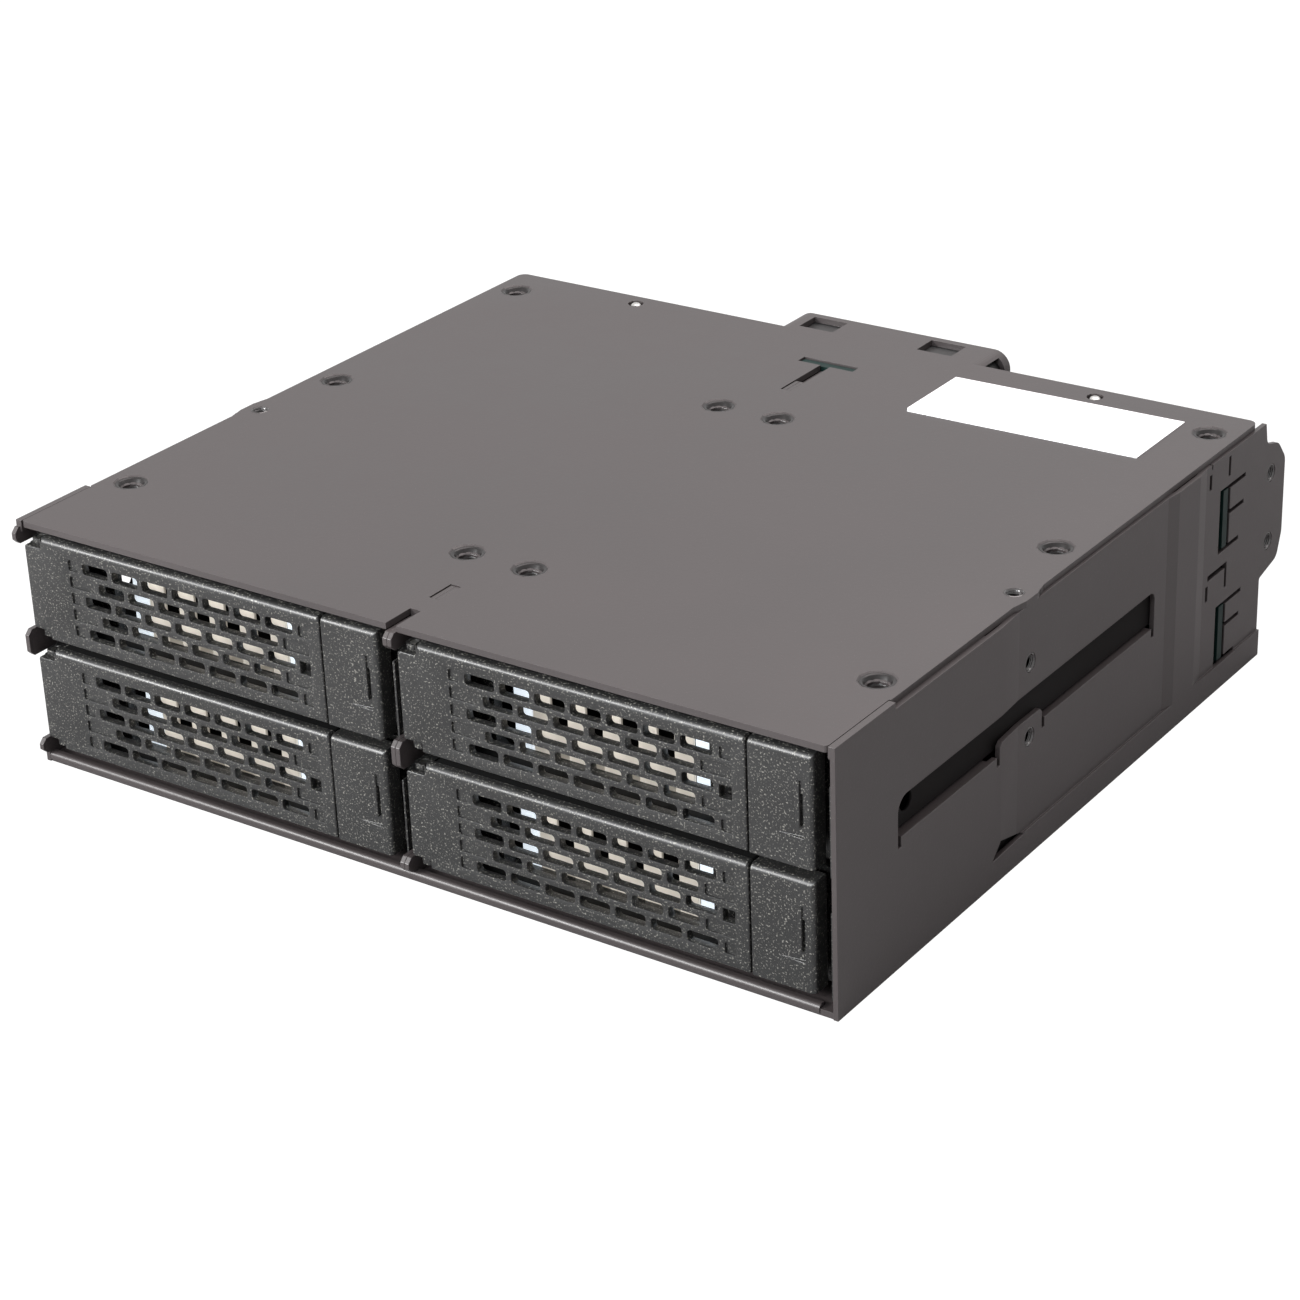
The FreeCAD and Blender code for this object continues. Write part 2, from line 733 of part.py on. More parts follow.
def shield_plate():
    """The perforated plate behind the grille: upright bars between two rows of windows."""
    y0 = frame_front + frame_depth
    left = shield_first_bar - shield_bar / 2
    right = shield_first_bar + (shield_bars - 1) * cell_pitch + shield_bar / 2
    plate = box(left, right, y0, y0 + shield_sheet, floor_sheet, frame_height - shield_drop)
    windows = []
    for i in range(shield_bars - 1):
        start = shield_first_bar + i * cell_pitch + shield_bar / 2
        end = start + cell_pitch - shield_bar
        high_window = (shield_high_foot, frame_height - shield_high_drop)
        for low, high in (shield_low_window, high_window):
            windows.append(box(start, end, y0 - 1, y0 + 2, low, high))
    foot = box(left, right, y0, y0 + shield_foot_depth, floor_sheet, floor_sheet + shield_sheet)
    return joined([without(plate, windows), foot])


def light_guides():
    """Two clear posts that stand at the ends of the shield plate."""
    y0 = frame_front + frame_depth
    left = shield_first_bar - shield_bar / 2 - guide_gap
    right = shield_first_bar + (shield_bars - 1) * cell_pitch + shield_bar / 2 + guide_gap
    posts = [box(x0, x1, y0, y0 + guide_depth, floor_sheet, frame_height - shield_drop)
             for x0, x1 in ((left - guide_width, left), (right, right + guide_width))]
    return Part.makeCompound(posts)


def status_lamp():
    """The small round lamp seen through the square hole of the grille."""
    reach = frame_front + frame_depth - lamp_front
    return polygon_post(lamp_x, lamp_front, lamp_z, lamp_radius, reach, V(0, 1, 0))


def grille_cells():
    """Where each cell starts, its width and its row height: staggered rows, seven and six."""
    cells = []
    for row in range(-2, 3):
        inset = row % 2
        for column in range(grille_columns - inset):
            x = grille_left + (column + inset / 2) * cell_pitch
            cells.append((x, cell_width, door_mid - grille_drop + row * row_pitch))
    return cells


def blind_cells():
    """The closed cells that finish each row at both ends, as shallow recesses."""
    recesses = []
    grille_right = grille_left + (grille_columns - 1) * cell_pitch + cell_width
    for row in range(-2, 3):
        z = door_mid - grille_drop + row * row_pitch
        inset = (row % 2) * cell_pitch / 2
        right_width = blind_short + inset
        recesses.append((grille_left - blind_gap - blind_short, blind_short + inset, z))
        if row != 0:
            recesses.append((grille_right + blind_gap - inset, right_width, z))
    return recesses


def door_shell():
    """The door as one moulded cup: rounded skin, side walls, and a round hinge edge."""
    outline = [(door_left, 0), (door_right, 0), (door_right, door_depth),
               (door_left + notch_width + 0.9, door_depth),
               (door_left + notch_width + 0.9, 2 * hinge_inset - 0.4),
               (door_left, 2 * hinge_inset - 0.4)]
    body = prism_z(outline, door_foot, door_top, [0, 0, 0, 0.8, 0, 1.5])
    body = rounded_front(body, door_top, door_corner)
    body = rounded_front(body, door_foot, door_corner * 0.4)
    left = door_left + notch_width + 0.9 + door_wall
    hollow = prism_y(rectangle(left, door_right - door_wall, door_foot + door_wall,
                     door_top - door_wall), door_skin, door_depth + 1)
    return body.cut(hollow)


def rounded_front(body, height, radius):
    """Rounds the long front edge of a moulding at the given height."""
    edges = [edge for edge in body.Edges
             if abs(edge.BoundBox.ZMin - height) < 1e-4 and abs(edge.BoundBox.ZMax - height) < 1e-4
             and edge.BoundBox.YMax < 1e-4]
    return body.makeFillet(radius, edges)


def door():
    shell = door_shell()
    cutters = []
    for x, width, z in grille_cells():
        cutters.append(prism_y(rectangle(x, x + width, z - cell_height / 2, z + cell_height / 2),
                               -1, door_skin + 1))
    for x, width, z in blind_cells():
        cutters.append(prism_y(rectangle(x, x + width, z - cell_height / 2, z + cell_height / 2),
                               -1, blind_depth))
    cutters.append(box(lamp_x - lamp_hole / 2, lamp_x + lamp_hole / 2, -1, door_skin + 1,
                       lamp_z - lamp_hole / 2, lamp_z + lamp_hole / 2))
    right = door_left + notch_width
    cutters.append(box(door_left - 1, right, -1, door_depth + 1, door_foot - 1,
                       door_foot + notch_foot))
    cutters.append(box(door_left - 1, right, -1, door_depth + 1, door_top - notch_top,
                       door_top + 1))
    cutters.append(cylinder(hinge_x, hinge_inset, 0, hinge_pin_radius + pin_clearance, 30,
                            V(0, 0, 1)))
    return without(shell, cutters)


def door_pin():
    return cylinder(hinge_x, hinge_inset, door_foot + 0.1, hinge_pin_radius,
                    frame_height - door_foot - 0.2, V(0, 0, 1))


def latch():
    """The sliding latch: a short cup with a thumb scoop, and a stem through the frame."""
    left = latch_left
    outline = rectangle(left, latch_right, 0, latch_depth)
    body = prism_z(outline, door_foot, door_top, [0, 0.8, 0, 0])
    hollow = box(left + door_wall, latch_right - door_wall, door_skin, latch_depth + 1,
                 door_foot + door_wall, door_top - door_wall)
    crown = prism_x([(-1, door_top - door_corner), (0, door_top - door_corner), (door_corner,
                    door_top), (door_corner, door_top + 1), (-1, door_top + 1)], left - 1,
                    latch_right + 1)
    round_top = cylinder(left - 1, door_corner, door_top - door_corner, door_corner,
                         latch_right - left + 2, V(1, 0, 0))
    scoop = prism_z([(scoop_x - scoop_run, -0.01), (scoop_x, -0.01), (scoop_x, scoop_depth)],
                    door_mid - scoop_low, door_mid + scoop_high)
    trimmed = body.cut([hollow, scoop, crown.cut(round_top)])
    stem_left = latch_stem_x - stem_half_width
    low = door_mid - stem_half_height
    high = door_mid + stem_half_height
    stem = box(stem_left, latch_stem_x + stem_half_width, door_skin - 0.3, stem_end, low, high)
    catch = prism_z([(stem_left, stem_end - 1.6), (stem_left, stem_end),
                     (stem_left - 1.1, stem_end)], low, high)
    return joined([trimmed, stem, catch])


# Backplane and rear

def backplane_board():
    """The circuit board across the cage, with ears that sit in the side panels' slots."""
    z0 = cover_sheet + 0.4
    z1 = cover_under - wall_sheet - 0.3
    edge = recess_inside - 0.2
    pieces = [box(-edge, edge, board_front, board_rear, z0, z1)]
    for foot, head in hook_spans:
        pieces.append(box(-half_width + 0.5, half_width - 0.5, board_front, board_rear,
                          foot + hook_margin, head - hook_margin))
    pieces.append(box(-board_tab_half, board_tab_half, board_front, board_rear, z1 - 0.1,
                      cage_height - 0.3))
    cutters = []
    for side in (-1, 1):
        for x in board_slot_x:
            for tray in tray_z:
                z = tray + board_slot_rise
                cutters.append(box(side * x - 4, side * x + 4, board_front - 1, board_rear + 1,
                                   z - 2.6, z + 2.6))
    return without(joined(pieces), cutters)


def drive_receptacle():
    """The 22-pin socket that a drive plugs into, from the tray's centre line and floor."""
    y0 = board_front - receptacle_reach
    left = receptacle_x - receptacle_width / 2
    low = receptacle_z - receptacle_half_height
    high = receptacle_z + receptacle_half_height
    body = box(left, left + receptacle_width, y0, board_front, low,
               high)
    guides = [box(x, x + 2.4, y0 - 1.5, board_front, low, high)
              for x in (left - 2.4, left + receptacle_width)]
    blades = [box(left + 1.6, left + 22.6, y0 - 1, y0 + 4, receptacle_z - 1.2, receptacle_z + 0.2),
              box(left + 24.2, left + receptacle_width - 1.6, y0 - 1, y0 + 4, receptacle_z - 1.2,
                  receptacle_z + 0.2)]
    return without(joined([body] + guides), blades)


def rear_panel():
    """The upright plate behind the board, cut out for the fan and the ports."""
    z0 = cover_sheet
    y0 = rear_panel_front
    y1 = y0 + wall_sheet
    plate = box(-recess_inside, recess_inside, y0, y1, z0, cover_under)
    cutters = [cylinder(fan_x, y0 - 1, fan_z, fan_bore_radius, 4, V(0, 1, 0))]
    for x, z in fan_hole_centres():
        cutters.append(polygon_post(x, y0 - 1, z, fan_hole_radius, 4, V(0, 1, 0)))
    for x in data_port_x:
        cutters.append(port_window(x, data_port_z, data_port_width))
    for x in power_port_x:
        cutters.append(port_window(x, power_port_z, power_port_width))
    pieces = [without(plate, cutters)]
    for side in (-1, 1):
        x0 = side * bracket_screw_x - 5
        lip = box(x0, x0 + 10, y0, cover_depth - 0.5, cover_under - wall_sheet, cover_under)
        hole = polygon_post(side * bracket_screw_x, bracket_screw_y, cover_under - 2, 1.1, 4,
                            V(0, 0, 1))
        pieces.append(lip.cut(hole))
    return joined(pieces)


def port_window(x, z, width):
    """The rear panel's cut-out for one port."""
    reach = width / 2 + port_gap
    rise = port_half_height + port_gap
    return box(x - reach, x + reach, rear_panel_front - 1, fan_front + 1, z - rise, z + rise)


def port(x, z, width, key_left):
    """A board-mounted socket that reaches out through the rear panel."""
    end = fan_front + port_reach
    body = box(x - width / 2, x + width / 2, board_rear, end, z - port_half_height,
               z + port_half_height)
    mouth = box(x - width / 2 + 1, x + width / 2 - 1, end - 5, end + 1, z - 2.0, z + 2.0)
    tongue = box(x - width / 2 + 2, x + width / 2 - 2, end - 6, end - 0.8, z - 0.2, z + 1.0)
    key = box(x + key_left * (width / 2 - 3.2) - 0.6, x + key_left * (width / 2 - 3.2) + 0.6,
              end - 6, end - 0.8, z - 1.6, z)
    return joined([body.cut(mouth), tongue, key])


def fan_hole_centres():
    half = fan_hole_pitch / 2
    return [(fan_x + sx * half, fan_z + sz * half) for sx in (-1, 1) for sz in (-1, 1)]


def fan_housing():
    """A 40 mm axial fan's frame: square, bored through, with a hub held by four arms."""
    half = fan_size / 2
    y0 = fan_front
    y1 = fan_front + fan_depth
    frame = prism_y(rectangle(fan_x - half, fan_x + half, fan_z - half, fan_z + half), y0, y1,
                    fan_corner)
    cutters = [cylinder(fan_x, y0 - 1, fan_z, fan_bore_radius, fan_depth + 2, V(0, 1, 0))]
    for x, z in fan_hole_centres():
        cutters.append(polygon_post(x, y0 - 1, z, fan_hole_radius, fan_depth + 2, V(0, 1, 0)))
    frame = frame.cut(cutters)
    hub = cylinder(fan_x, y1 - spider_sheet, fan_z, fan_hub_radius, spider_sheet, V(0, 1, 0))
    pieces = [frame, hub]
    for i in range(4):
        arm = box(fan_hub_radius - 1, fan_bore_radius + 0.3, y1 - spider_sheet, y1 - 0.2,
                  -spider_half, spider_half)
        arm.rotate(V(0, 0, 0), V(0, 1, 0), 20 + 90 * i)
        arm.translate(V(fan_x, 0, fan_z))
        pieces.append(arm)
    bearing = cylinder(fan_x, y1 - 6.5, fan_z, bearing_radius, 5.5, V(0, 1, 0))
    bore = cylinder(fan_x, y1 - 7, fan_z, shaft_radius + pin_clearance, 5.2, V(0, 1, 0))
    return joined(pieces + [bearing]).cut(bore)


def fan_rotor():
    """The hub cup, its shaft and seven pitched blades."""
    y0 = fan_front + 0.8
    y1 = fan_front + fan_depth - 2.2
    cup = cylinder(fan_x, y0, fan_z, fan_hub_radius - 0.3, y1 - y0, V(0, 1, 0))
    cup = cup.cut(cylinder(fan_x, y0 + 1.0, fan_z, fan_hub_radius - 1.5, 20, V(0, 1, 0)))
    shaft = cylinder(fan_x, y0 + 0.5, fan_z, shaft_radius, 6.2, V(0, 1, 0))
    pieces = [cup, shaft]
    tip = fan_bore_radius - fan_tip_gap
    for i in range(fan_blades):
        pieces.append(fan_blade(tip, y0, y1, 360.0 * i / fan_blades))
    return joined(pieces)


def fan_blade(tip, y0, y1, turn):
    """A pitched blade with a hollow front: two arcs a blade's thickness apart, from hub to tip."""
    root = fan_hub_radius - 0.9
    chord = fan_size * 0.25
    start = V(root, y0 + 0.4, -chord / 2)
    end = V(root, y1 - 0.4, chord / 2)
    middle = V(root, (y0 + y1) / 2 + blade_hollow, 0)
    sheet = V(0, blade_sheet, 0)
    front = Part.Arc(start, middle, end).toShape()
    back = Part.Arc(end - sheet, middle - sheet, start - sheet).toShape()
    ends = [Part.makeLine(end, end - sheet), Part.makeLine(start - sheet, start)]
    section = Part.Face(Part.Wire([front, ends[0], back, ends[1]]))
    blade = section.extrude(V(tip - root + 2, 0, 0))
    sweep = cylinder(0, y0 - 1, 0, tip, fan_depth, V(0, 1, 0))
    blade = blade.common(sweep)
    blade.rotate(V(0, 0, 0), V(0, 1, 0), turn)
    blade.translate(V(fan_x, 0, fan_z))
    return blade


def blank_label():
    """A bare sticker on the top face, one corner clipped."""
    left = half_width - 51.6
    right = half_width - 10.6
    rear = cover_depth - 5.9
    outline = [(left + 0.6, rear - 17.4), (right, rear - 16.7), (right - 0.1, rear),
               (left, rear - 0.7), (left, rear - 16.2)]
    return prism_z(outline, cage_height, cage_height + 0.1)


def build_cage():
    panel = side_panel(False)
    export("side_panel_right", panel)
    export("side_panel_left", mirrored(side_panel(True)))
    sheet = divider_sheet()
    export("divider_sheet_right", sheet)
    export("divider_sheet_left", mirrored(sheet))
    export("top_plate", top_plate())
    export("bottom_plate", bottom_plate())
    export("blank_label", blank_label())
    screws = [flat_screw(side * cover_screw_x, y) for side in (-1, 1) for y in cover_screw_rows]
    export("cover_screws", Part.makeCompound(screws))
    screws = [flat_screw(side * divider_screw_x, y) for side in (-1, 1)
              for y in divider_screw_rows]
    export("divider_screws", Part.makeCompound(screws))


def build_rear():
    export("backplane_board", backplane_board())
    export("rear_panel", rear_panel())
    for i, x in enumerate(data_port_x):
        export("data_port_" + str(i + 1), port(x, data_port_z, data_port_width, -1))
    for i, x in enumerate(power_port_x):
        export("power_port_" + str(i + 1), port(x, power_port_z, power_port_width, 1))
    export("fan_housing", fan_housing())
    export("fan_rotor", fan_rotor())


def build_trays():
    """Bays 1 and 2 are the lower pair, 3 and 4 the upper pair, each left then right."""
    pieces = {"pan": drive_pan(), "frame": front_frame(), "shield": shield_plate(),
              "light_guides": light_guides(), "lamp": status_lamp(), "door": door(),
              "door_pin": door_pin(), "latch": latch()}
    number = 0
    for z in tray_z:
        for side in (-1, 1):
            number += 1
            for name, shape in pieces.items():
                export("tray_" + str(number) + "_" + name,
                       shifted(shape, side * bay_center_x, 0, z))
            export("receptacle_" + str(number),
                   shifted(drive_receptacle(), side * bay_center_x, 0, z))


build_cage()
build_rear()
build_trays()
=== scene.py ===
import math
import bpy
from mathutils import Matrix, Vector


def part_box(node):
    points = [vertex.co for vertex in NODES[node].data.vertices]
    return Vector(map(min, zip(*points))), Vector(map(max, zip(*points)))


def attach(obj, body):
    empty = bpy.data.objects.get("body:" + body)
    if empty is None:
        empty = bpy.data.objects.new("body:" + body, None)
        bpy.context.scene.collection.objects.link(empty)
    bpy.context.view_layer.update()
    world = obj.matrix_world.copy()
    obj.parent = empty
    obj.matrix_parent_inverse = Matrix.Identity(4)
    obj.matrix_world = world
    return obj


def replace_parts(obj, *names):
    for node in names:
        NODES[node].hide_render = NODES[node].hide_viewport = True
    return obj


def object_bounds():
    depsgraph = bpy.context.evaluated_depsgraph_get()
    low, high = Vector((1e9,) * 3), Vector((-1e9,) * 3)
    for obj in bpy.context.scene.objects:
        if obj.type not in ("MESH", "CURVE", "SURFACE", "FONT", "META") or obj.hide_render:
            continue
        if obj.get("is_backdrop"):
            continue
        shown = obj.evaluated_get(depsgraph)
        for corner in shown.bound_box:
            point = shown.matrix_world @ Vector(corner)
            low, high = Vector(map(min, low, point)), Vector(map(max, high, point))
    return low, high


bl_info = {
    "name": "Hot swap drive cage",
    "version": (1, 0, 0),
    "blender": (4, 5, 0),
    "location": "View3D > Sidebar > Drive Cage",
    "description": "Dresses the packed drive cage with rounded edges, small parts and finishes",
    "category": "Object",
}

import bmesh
import bpy
import numpy as np
from bpy.props import FloatProperty, FloatVectorProperty, PointerProperty
from mathutils import Matrix, Vector
from mathutils.geometry import delaunay_2d_cdt

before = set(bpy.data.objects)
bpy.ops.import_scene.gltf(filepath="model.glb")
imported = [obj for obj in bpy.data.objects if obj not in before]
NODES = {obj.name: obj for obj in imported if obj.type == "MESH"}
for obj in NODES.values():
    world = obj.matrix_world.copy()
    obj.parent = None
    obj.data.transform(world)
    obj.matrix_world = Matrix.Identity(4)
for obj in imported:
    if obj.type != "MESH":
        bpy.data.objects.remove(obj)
CAD_LOW, CAD_HIGH = (tuple(corner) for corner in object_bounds())
MM = 0.001
BAYS = (1, 2, 3, 4)
TURN = 2 * math.pi
SIDES = ((-1, "left"), (1, "right"))


# Sizes and colours that a user would change

def length(name, description, default):
    return FloatProperty(name=name, description=description, default=default, min=0.0,
                         precision=5, unit="LENGTH")


def colour(name, description, default):
    return FloatVectorProperty(name=name, description=description, default=default,
                               subtype="COLOR", min=0.0, max=1.0)


class CageSizes(bpy.types.PropertyGroup):
    """Sizes of the rounded edges and of the grille's cells"""
    sheet_edge: length("Sheet edge", "Rounding of the painted sheet's cut edges", 0.00014)
    moulded_edge: length("Moulded edge", "Rounding of the moulded parts' edges", 0.00016)
    cell_corner: length("Cell corner", "Corner radius of the grille's cells", 0.0005)
    recess_corner: length("Recess corner", "Corner radius of the blind cells", 0.0003)
    recess_depth: length("Recess depth", "Depth of the blind cells", 0.00035)
    door_round: length("Door round", "Rounding of the doors' top edge", 0.001)


class CageColours(bpy.types.PropertyGroup):
    """Base colours of the finishes"""
    steel: colour("Painted steel", "Black satin paint on the sheet metal", (0.036, 0.030, 0.030))
    moulding: colour("Moulding", "Black plastic of doors and latches", (0.011, 0.011, 0.011))
    fleck: colour("Fleck", "Bright specks in the moulded plastic", (0.15, 0.145, 0.13))
    shield: colour("Shield", "Cream plate behind the grille", (0.74, 0.68, 0.59))
    guide: colour("Light guide", "Clear posts beside the shield", (0.84, 0.92, 1.0))
    board: colour("Board", "Solder mask of the backplane", (0.005, 0.017, 0.015))
    label: colour("Label", "Bare paper label", (0.86, 0.86, 0.87))


def sizes():
    return bpy.context.scene.cage_sizes


def colours():
    return bpy.context.scene.cage_colours


# Shader nodes

MIX_FIRST, MIX_SECOND, MIX_RESULT = 6, 7, 2  # the Mix node's sockets for colours


def put(tree, value, socket):
    """Links a socket, or sets a plain number or colour."""
    if isinstance(value, bpy.types.NodeSocket):
        tree.links.new(value, socket)
    else:
        socket.default_value = value


def add_node(tree, kind, **settings):
    node = tree.nodes.new(kind)
    for name, value in settings.items():
        setattr(node, name, value)
    return node


def noise_node(tree, vector, scale, detail=2.0, roughness=0.5):
    node = add_node(tree, "ShaderNodeTexNoise")
    node.inputs["Detail"].default_value = detail
    node.inputs["Roughness"].default_value = roughness
    tree.links.new(vector, node.inputs["Vector"])
    put(tree, scale, node.inputs["Scale"])
    return node.outputs["Fac"]


def greater_of(tree, first, second):
    node = add_node(tree, "ShaderNodeMath", operation="MAXIMUM")
    put(tree, first, node.inputs[0])
    put(tree, second, node.inputs[1])
    return node.outputs[0]


def remap(tree, value, low, high, out_low=0.0, out_high=1.0):
    """Carries a value from one span to another, clamped at both ends."""
    node = add_node(tree, "ShaderNodeMapRange", clamp=True)
    for socket, number in zip(node.inputs[:5], (value, low, high, out_low, out_high)):
        put(tree, number, socket)
    return node.outputs[0]


def blend_colours(tree, mask, first, second):
    node = add_node(tree, "ShaderNodeMix", data_type="RGBA")
    put(tree, mask, node.inputs["Factor"])
    put(tree, first, node.inputs[MIX_FIRST])
    put(tree, second, node.inputs[MIX_SECOND])
    return node.outputs[MIX_RESULT]


def object_coordinates(tree):
    return add_node(tree, "ShaderNodeTexCoord").outputs["Object"]


# Shader groups, built once and placed in each material with its own values

DUST_SCALE = 5200.0
MOULDING_CLOUD_SCALE = 60.0
CLOUD_SPAN = (0.3, 0.7)
DUST_SPAN = (0.70, 0.78)
FLECK_SPAN = (0.60, 0.72)
GROUPS = {}


def new_group(name, inputs, outputs):
    """An empty shader group. inputs holds (name, default), and every socket is a float."""
    tree = bpy.data.node_groups.new(name, "ShaderNodeTree")
    for socket_name, default in inputs:
        socket = tree.interface.new_socket(socket_name, in_out="INPUT",
                                           socket_type="NodeSocketFloat")
        socket.default_value = default
    for socket_name in outputs:
        tree.interface.new_socket(socket_name, in_out="OUTPUT", socket_type="NodeSocketFloat")
    source = tree.nodes.new("NodeGroupInput")
    target = tree.nodes.new("NodeGroupOutput")
    return tree, source.outputs, target.inputs


def paint_group():
    """Orange peel, uneven sheen and faint dust of sprayed paint, as masks."""
    tree, source, target = new_group("Sprayed paint",
                                     [("Peel scale", 1400.0), ("Cloud scale", 26.0)],
                                     ["Height", "Cloud", "Dust"])
    place = object_coordinates(tree)
    peel = noise_node(tree, place, source["Peel scale"], detail=3.0, roughness=0.6)
    cloud = noise_node(tree, place, source["Cloud scale"], detail=4.0, roughness=0.55)
    grit = noise_node(tree, place, DUST_SCALE, detail=1.0)
    put(tree, peel, target["Height"])
    put(tree, remap(tree, cloud, *CLOUD_SPAN), target["Cloud"])
    put(tree, remap(tree, grit, *DUST_SPAN), target["Dust"])
    return tree


def fleck_group():
    """Etched mould texture, small bright flecks and uneven sheen, as masks."""
    tree, source, target = new_group("Flecked moulding",
                                     [("Grain scale", 2600.0), ("Fleck scale", 3600.0)],
                                     ["Height", "Fleck", "Cloud"])
    place = object_coordinates(tree)
    grain = noise_node(tree, place, source["Grain scale"], detail=2.0, roughness=0.6)
    fleck = noise_node(tree, place, source["Fleck scale"], detail=1.0, roughness=0.4)
    cloud = noise_node(tree, place, MOULDING_CLOUD_SCALE, detail=3.0, roughness=0.5)
    put(tree, grain, target["Height"])
    put(tree, remap(tree, fleck, *FLECK_SPAN), target["Fleck"])
    put(tree, remap(tree, cloud, *CLOUD_SPAN), target["Cloud"])
    return tree


def place_group(tree, make, **values):
    """Puts a shared group into a material, with its own values, and returns its outputs."""
    if make not in GROUPS:
        GROUPS[make] = make()
    node = add_node(tree, "ShaderNodeGroup", node_tree=GROUPS[make])
    for name, value in values.items():
        node.inputs[name.replace("_", " ")].default_value = value
    return node.outputs


# Finishes

PAN_BLACK = (0.008, 0.007, 0.007)
# Painted shade: the near-black of the doors' inner walls, which are the same plastic as the door
# faces
MOULDING_SHADE_BLACK = (0.006, 0.006, 0.006)
PLASTIC_BLACK = (0.018, 0.018, 0.018)
SOCKET_BLACK = (0.012, 0.012, 0.013)
LAMP_AMBER = (0.75, 0.68, 0.45)
PIN_STEEL = (0.62, 0.61, 0.59)
CONTACT_GOLD = (0.85, 0.62, 0.28)
FINISHES = {}


def new_material(name, **constants):
    """A material whose shader gets its plain numbers straight on its own sockets."""
    material = bpy.data.materials.new(name)
    material.use_nodes = True
    shader = material.node_tree.nodes["Principled BSDF"]
    for socket, value in constants.items():
        shader.inputs[socket.replace("_", " ")].default_value = value
    return material, material.node_tree, shader


def rgba(value, factor=1.0):
    return tuple(min(1.0, channel * factor) for channel in value[:3]) + (1.0,)


def add_bump(tree, shader, height, strength, distance):
    bump = add_node(tree, "ShaderNodeBump")
    bump.inputs["Strength"].default_value = strength
    bump.inputs["Distance"].default_value = distance
    put(tree, height, bump.inputs["Height"])
    tree.links.new(bump.outputs["Normal"], shader.inputs["Normal"])


def uneven(tree, shader, cloud, base, tones, rough):
    """Drifts the roughness over the cloud mask, and returns the colour drifting with it."""
    put(tree, remap(tree, cloud, 0.0, 1.0, *rough), shader.inputs["Roughness"])
    return blend_colours(tree, cloud, rgba(base, tones[0]), rgba(base, tones[1]))


def satin_coat(name, base, rough=(0.36, 0.46), dust=2.2, shine=0.5):
    """Sprayed paint or lacquer. dust is how many times paler than the coat its dust is."""
    material, tree, shader = new_material(name, Specular_IOR_Level=shine)
    masks = place_group(tree, paint_group)
    tone = uneven(tree, shader, masks["Cloud"], base, (0.92, 1.1), rough)
    put(tree, blend_colours(tree, masks["Dust"], tone, rgba(base, dust)),
        shader.inputs["Base Color"])
    add_bump(tree, shader, masks["Height"], strength=0.25, distance=0.00004)
    return material


def flecked_plastic(name, base, fleck, rough=(0.34, 0.46)):
    """Etched black moulding with bright specks."""
    material, tree, shader = new_material(name, Specular_IOR_Level=0.5)
    masks = place_group(tree, fleck_group)
    tone = uneven(tree, shader, masks["Cloud"], base, (0.9, 1.15), rough)
    put(tree, blend_colours(tree, masks["Fleck"], tone, rgba(fleck)),
        shader.inputs["Base Color"])
    add_bump(tree, shader, masks["Height"], strength=0.25, distance=0.00005)
    return material


def plain_plastic(name, base, rough=0.45, grain=900.0, painted_glow=0.0):
    """Smooth plastic or paper in one colour, with an optional emission that paints light on a
    part that is no lamp.
    """
    material, tree, shader = new_material(name, Specular_IOR_Level=0.5, Emission_Strength=painted_glow,
                                          Emission_Color=rgba(base))
    masks = place_group(tree, fleck_group, Grain_scale=grain)
    put(tree, uneven(tree, shader, masks["Cloud"], base, (0.9, 1.1),
                     (rough - 0.05, rough + 0.05)), shader.inputs["Base Color"])
    add_bump(tree, shader, masks["Height"], strength=0.15, distance=0.00003)
    return material


def metal(name, base, rough=0.3):
    """Bare metal, faintly uneven."""
    material, tree, shader = new_material(name, Metallic=1.0)
    masks = place_group(tree, paint_group, Peel_scale=700.0, Cloud_scale=300.0)
    put(tree, uneven(tree, shader, masks["Cloud"], base, (0.85, 1.1),
                     (rough - 0.06, rough + 0.08)), shader.inputs["Base Color"])
    return material


def build_finishes():
    paint = colours()
    FINISHES.update({
        "steel": satin_coat("Black painted steel", paint.steel),
        "inner": satin_coat("Black tray steel", PAN_BLACK, (0.6, 0.7), dust=1.5, shine=0.07),
        "tapped": satin_coat("Tapped rim", rgba(paint.steel, 0.6), (0.18, 0.26), dust=1.5,
                             shine=1.0),
        "screw": satin_coat("Blackened screw", rgba(paint.steel, 0.25), (0.26, 0.34), dust=1.2,
                            shine=0.35),
        "door": flecked_plastic("Flecked black moulding", paint.moulding, paint.fleck),
        # The door moulding darkened and dulled as painted shade, for the walls behind the grille
        "painted_shade_moulding": satin_coat("Painted shade moulding", MOULDING_SHADE_BLACK, (0.6, 0.7), dust=1.2, shine=0.1),
        "black": plain_plastic("Black plastic", PLASTIC_BLACK),
        "socket": plain_plastic("Socket plastic", SOCKET_BLACK, rough=0.38),
        # The cream shield and the light guides glow as painted light; they are not lit from
        # within
        "shield": plain_plastic("Cream shield", paint.shield, rough=0.5, grain=500.0, painted_glow=0.2),
        "guide": plain_plastic("Light guide", paint.guide, rough=0.2, grain=300.0, painted_glow=0.6),
        "lamp": plain_plastic("Lamp", LAMP_AMBER, rough=0.2, grain=300.0),
        "board": satin_coat("Solder mask", paint.board, (0.4, 0.5), dust=1.2, shine=0.15),
        "label": plain_plastic("Bare label", paint.label, rough=0.6, grain=1500.0),
        "bright": metal("Bright steel", PIN_STEEL),
        "gold": metal("Gold plating", CONTACT_GOLD, rough=0.25),
    })


# Pieces that keep a node's shape and get rounded edges

SMOOTH_BELOW = math.radians(35)
SHALLOW_BEND = math.radians(3)
HARD_BEND = math.radians(32)
FLAT = math.radians(0.5)
NODE_WELD = 2e-6
FINE_WELD = 1e-7


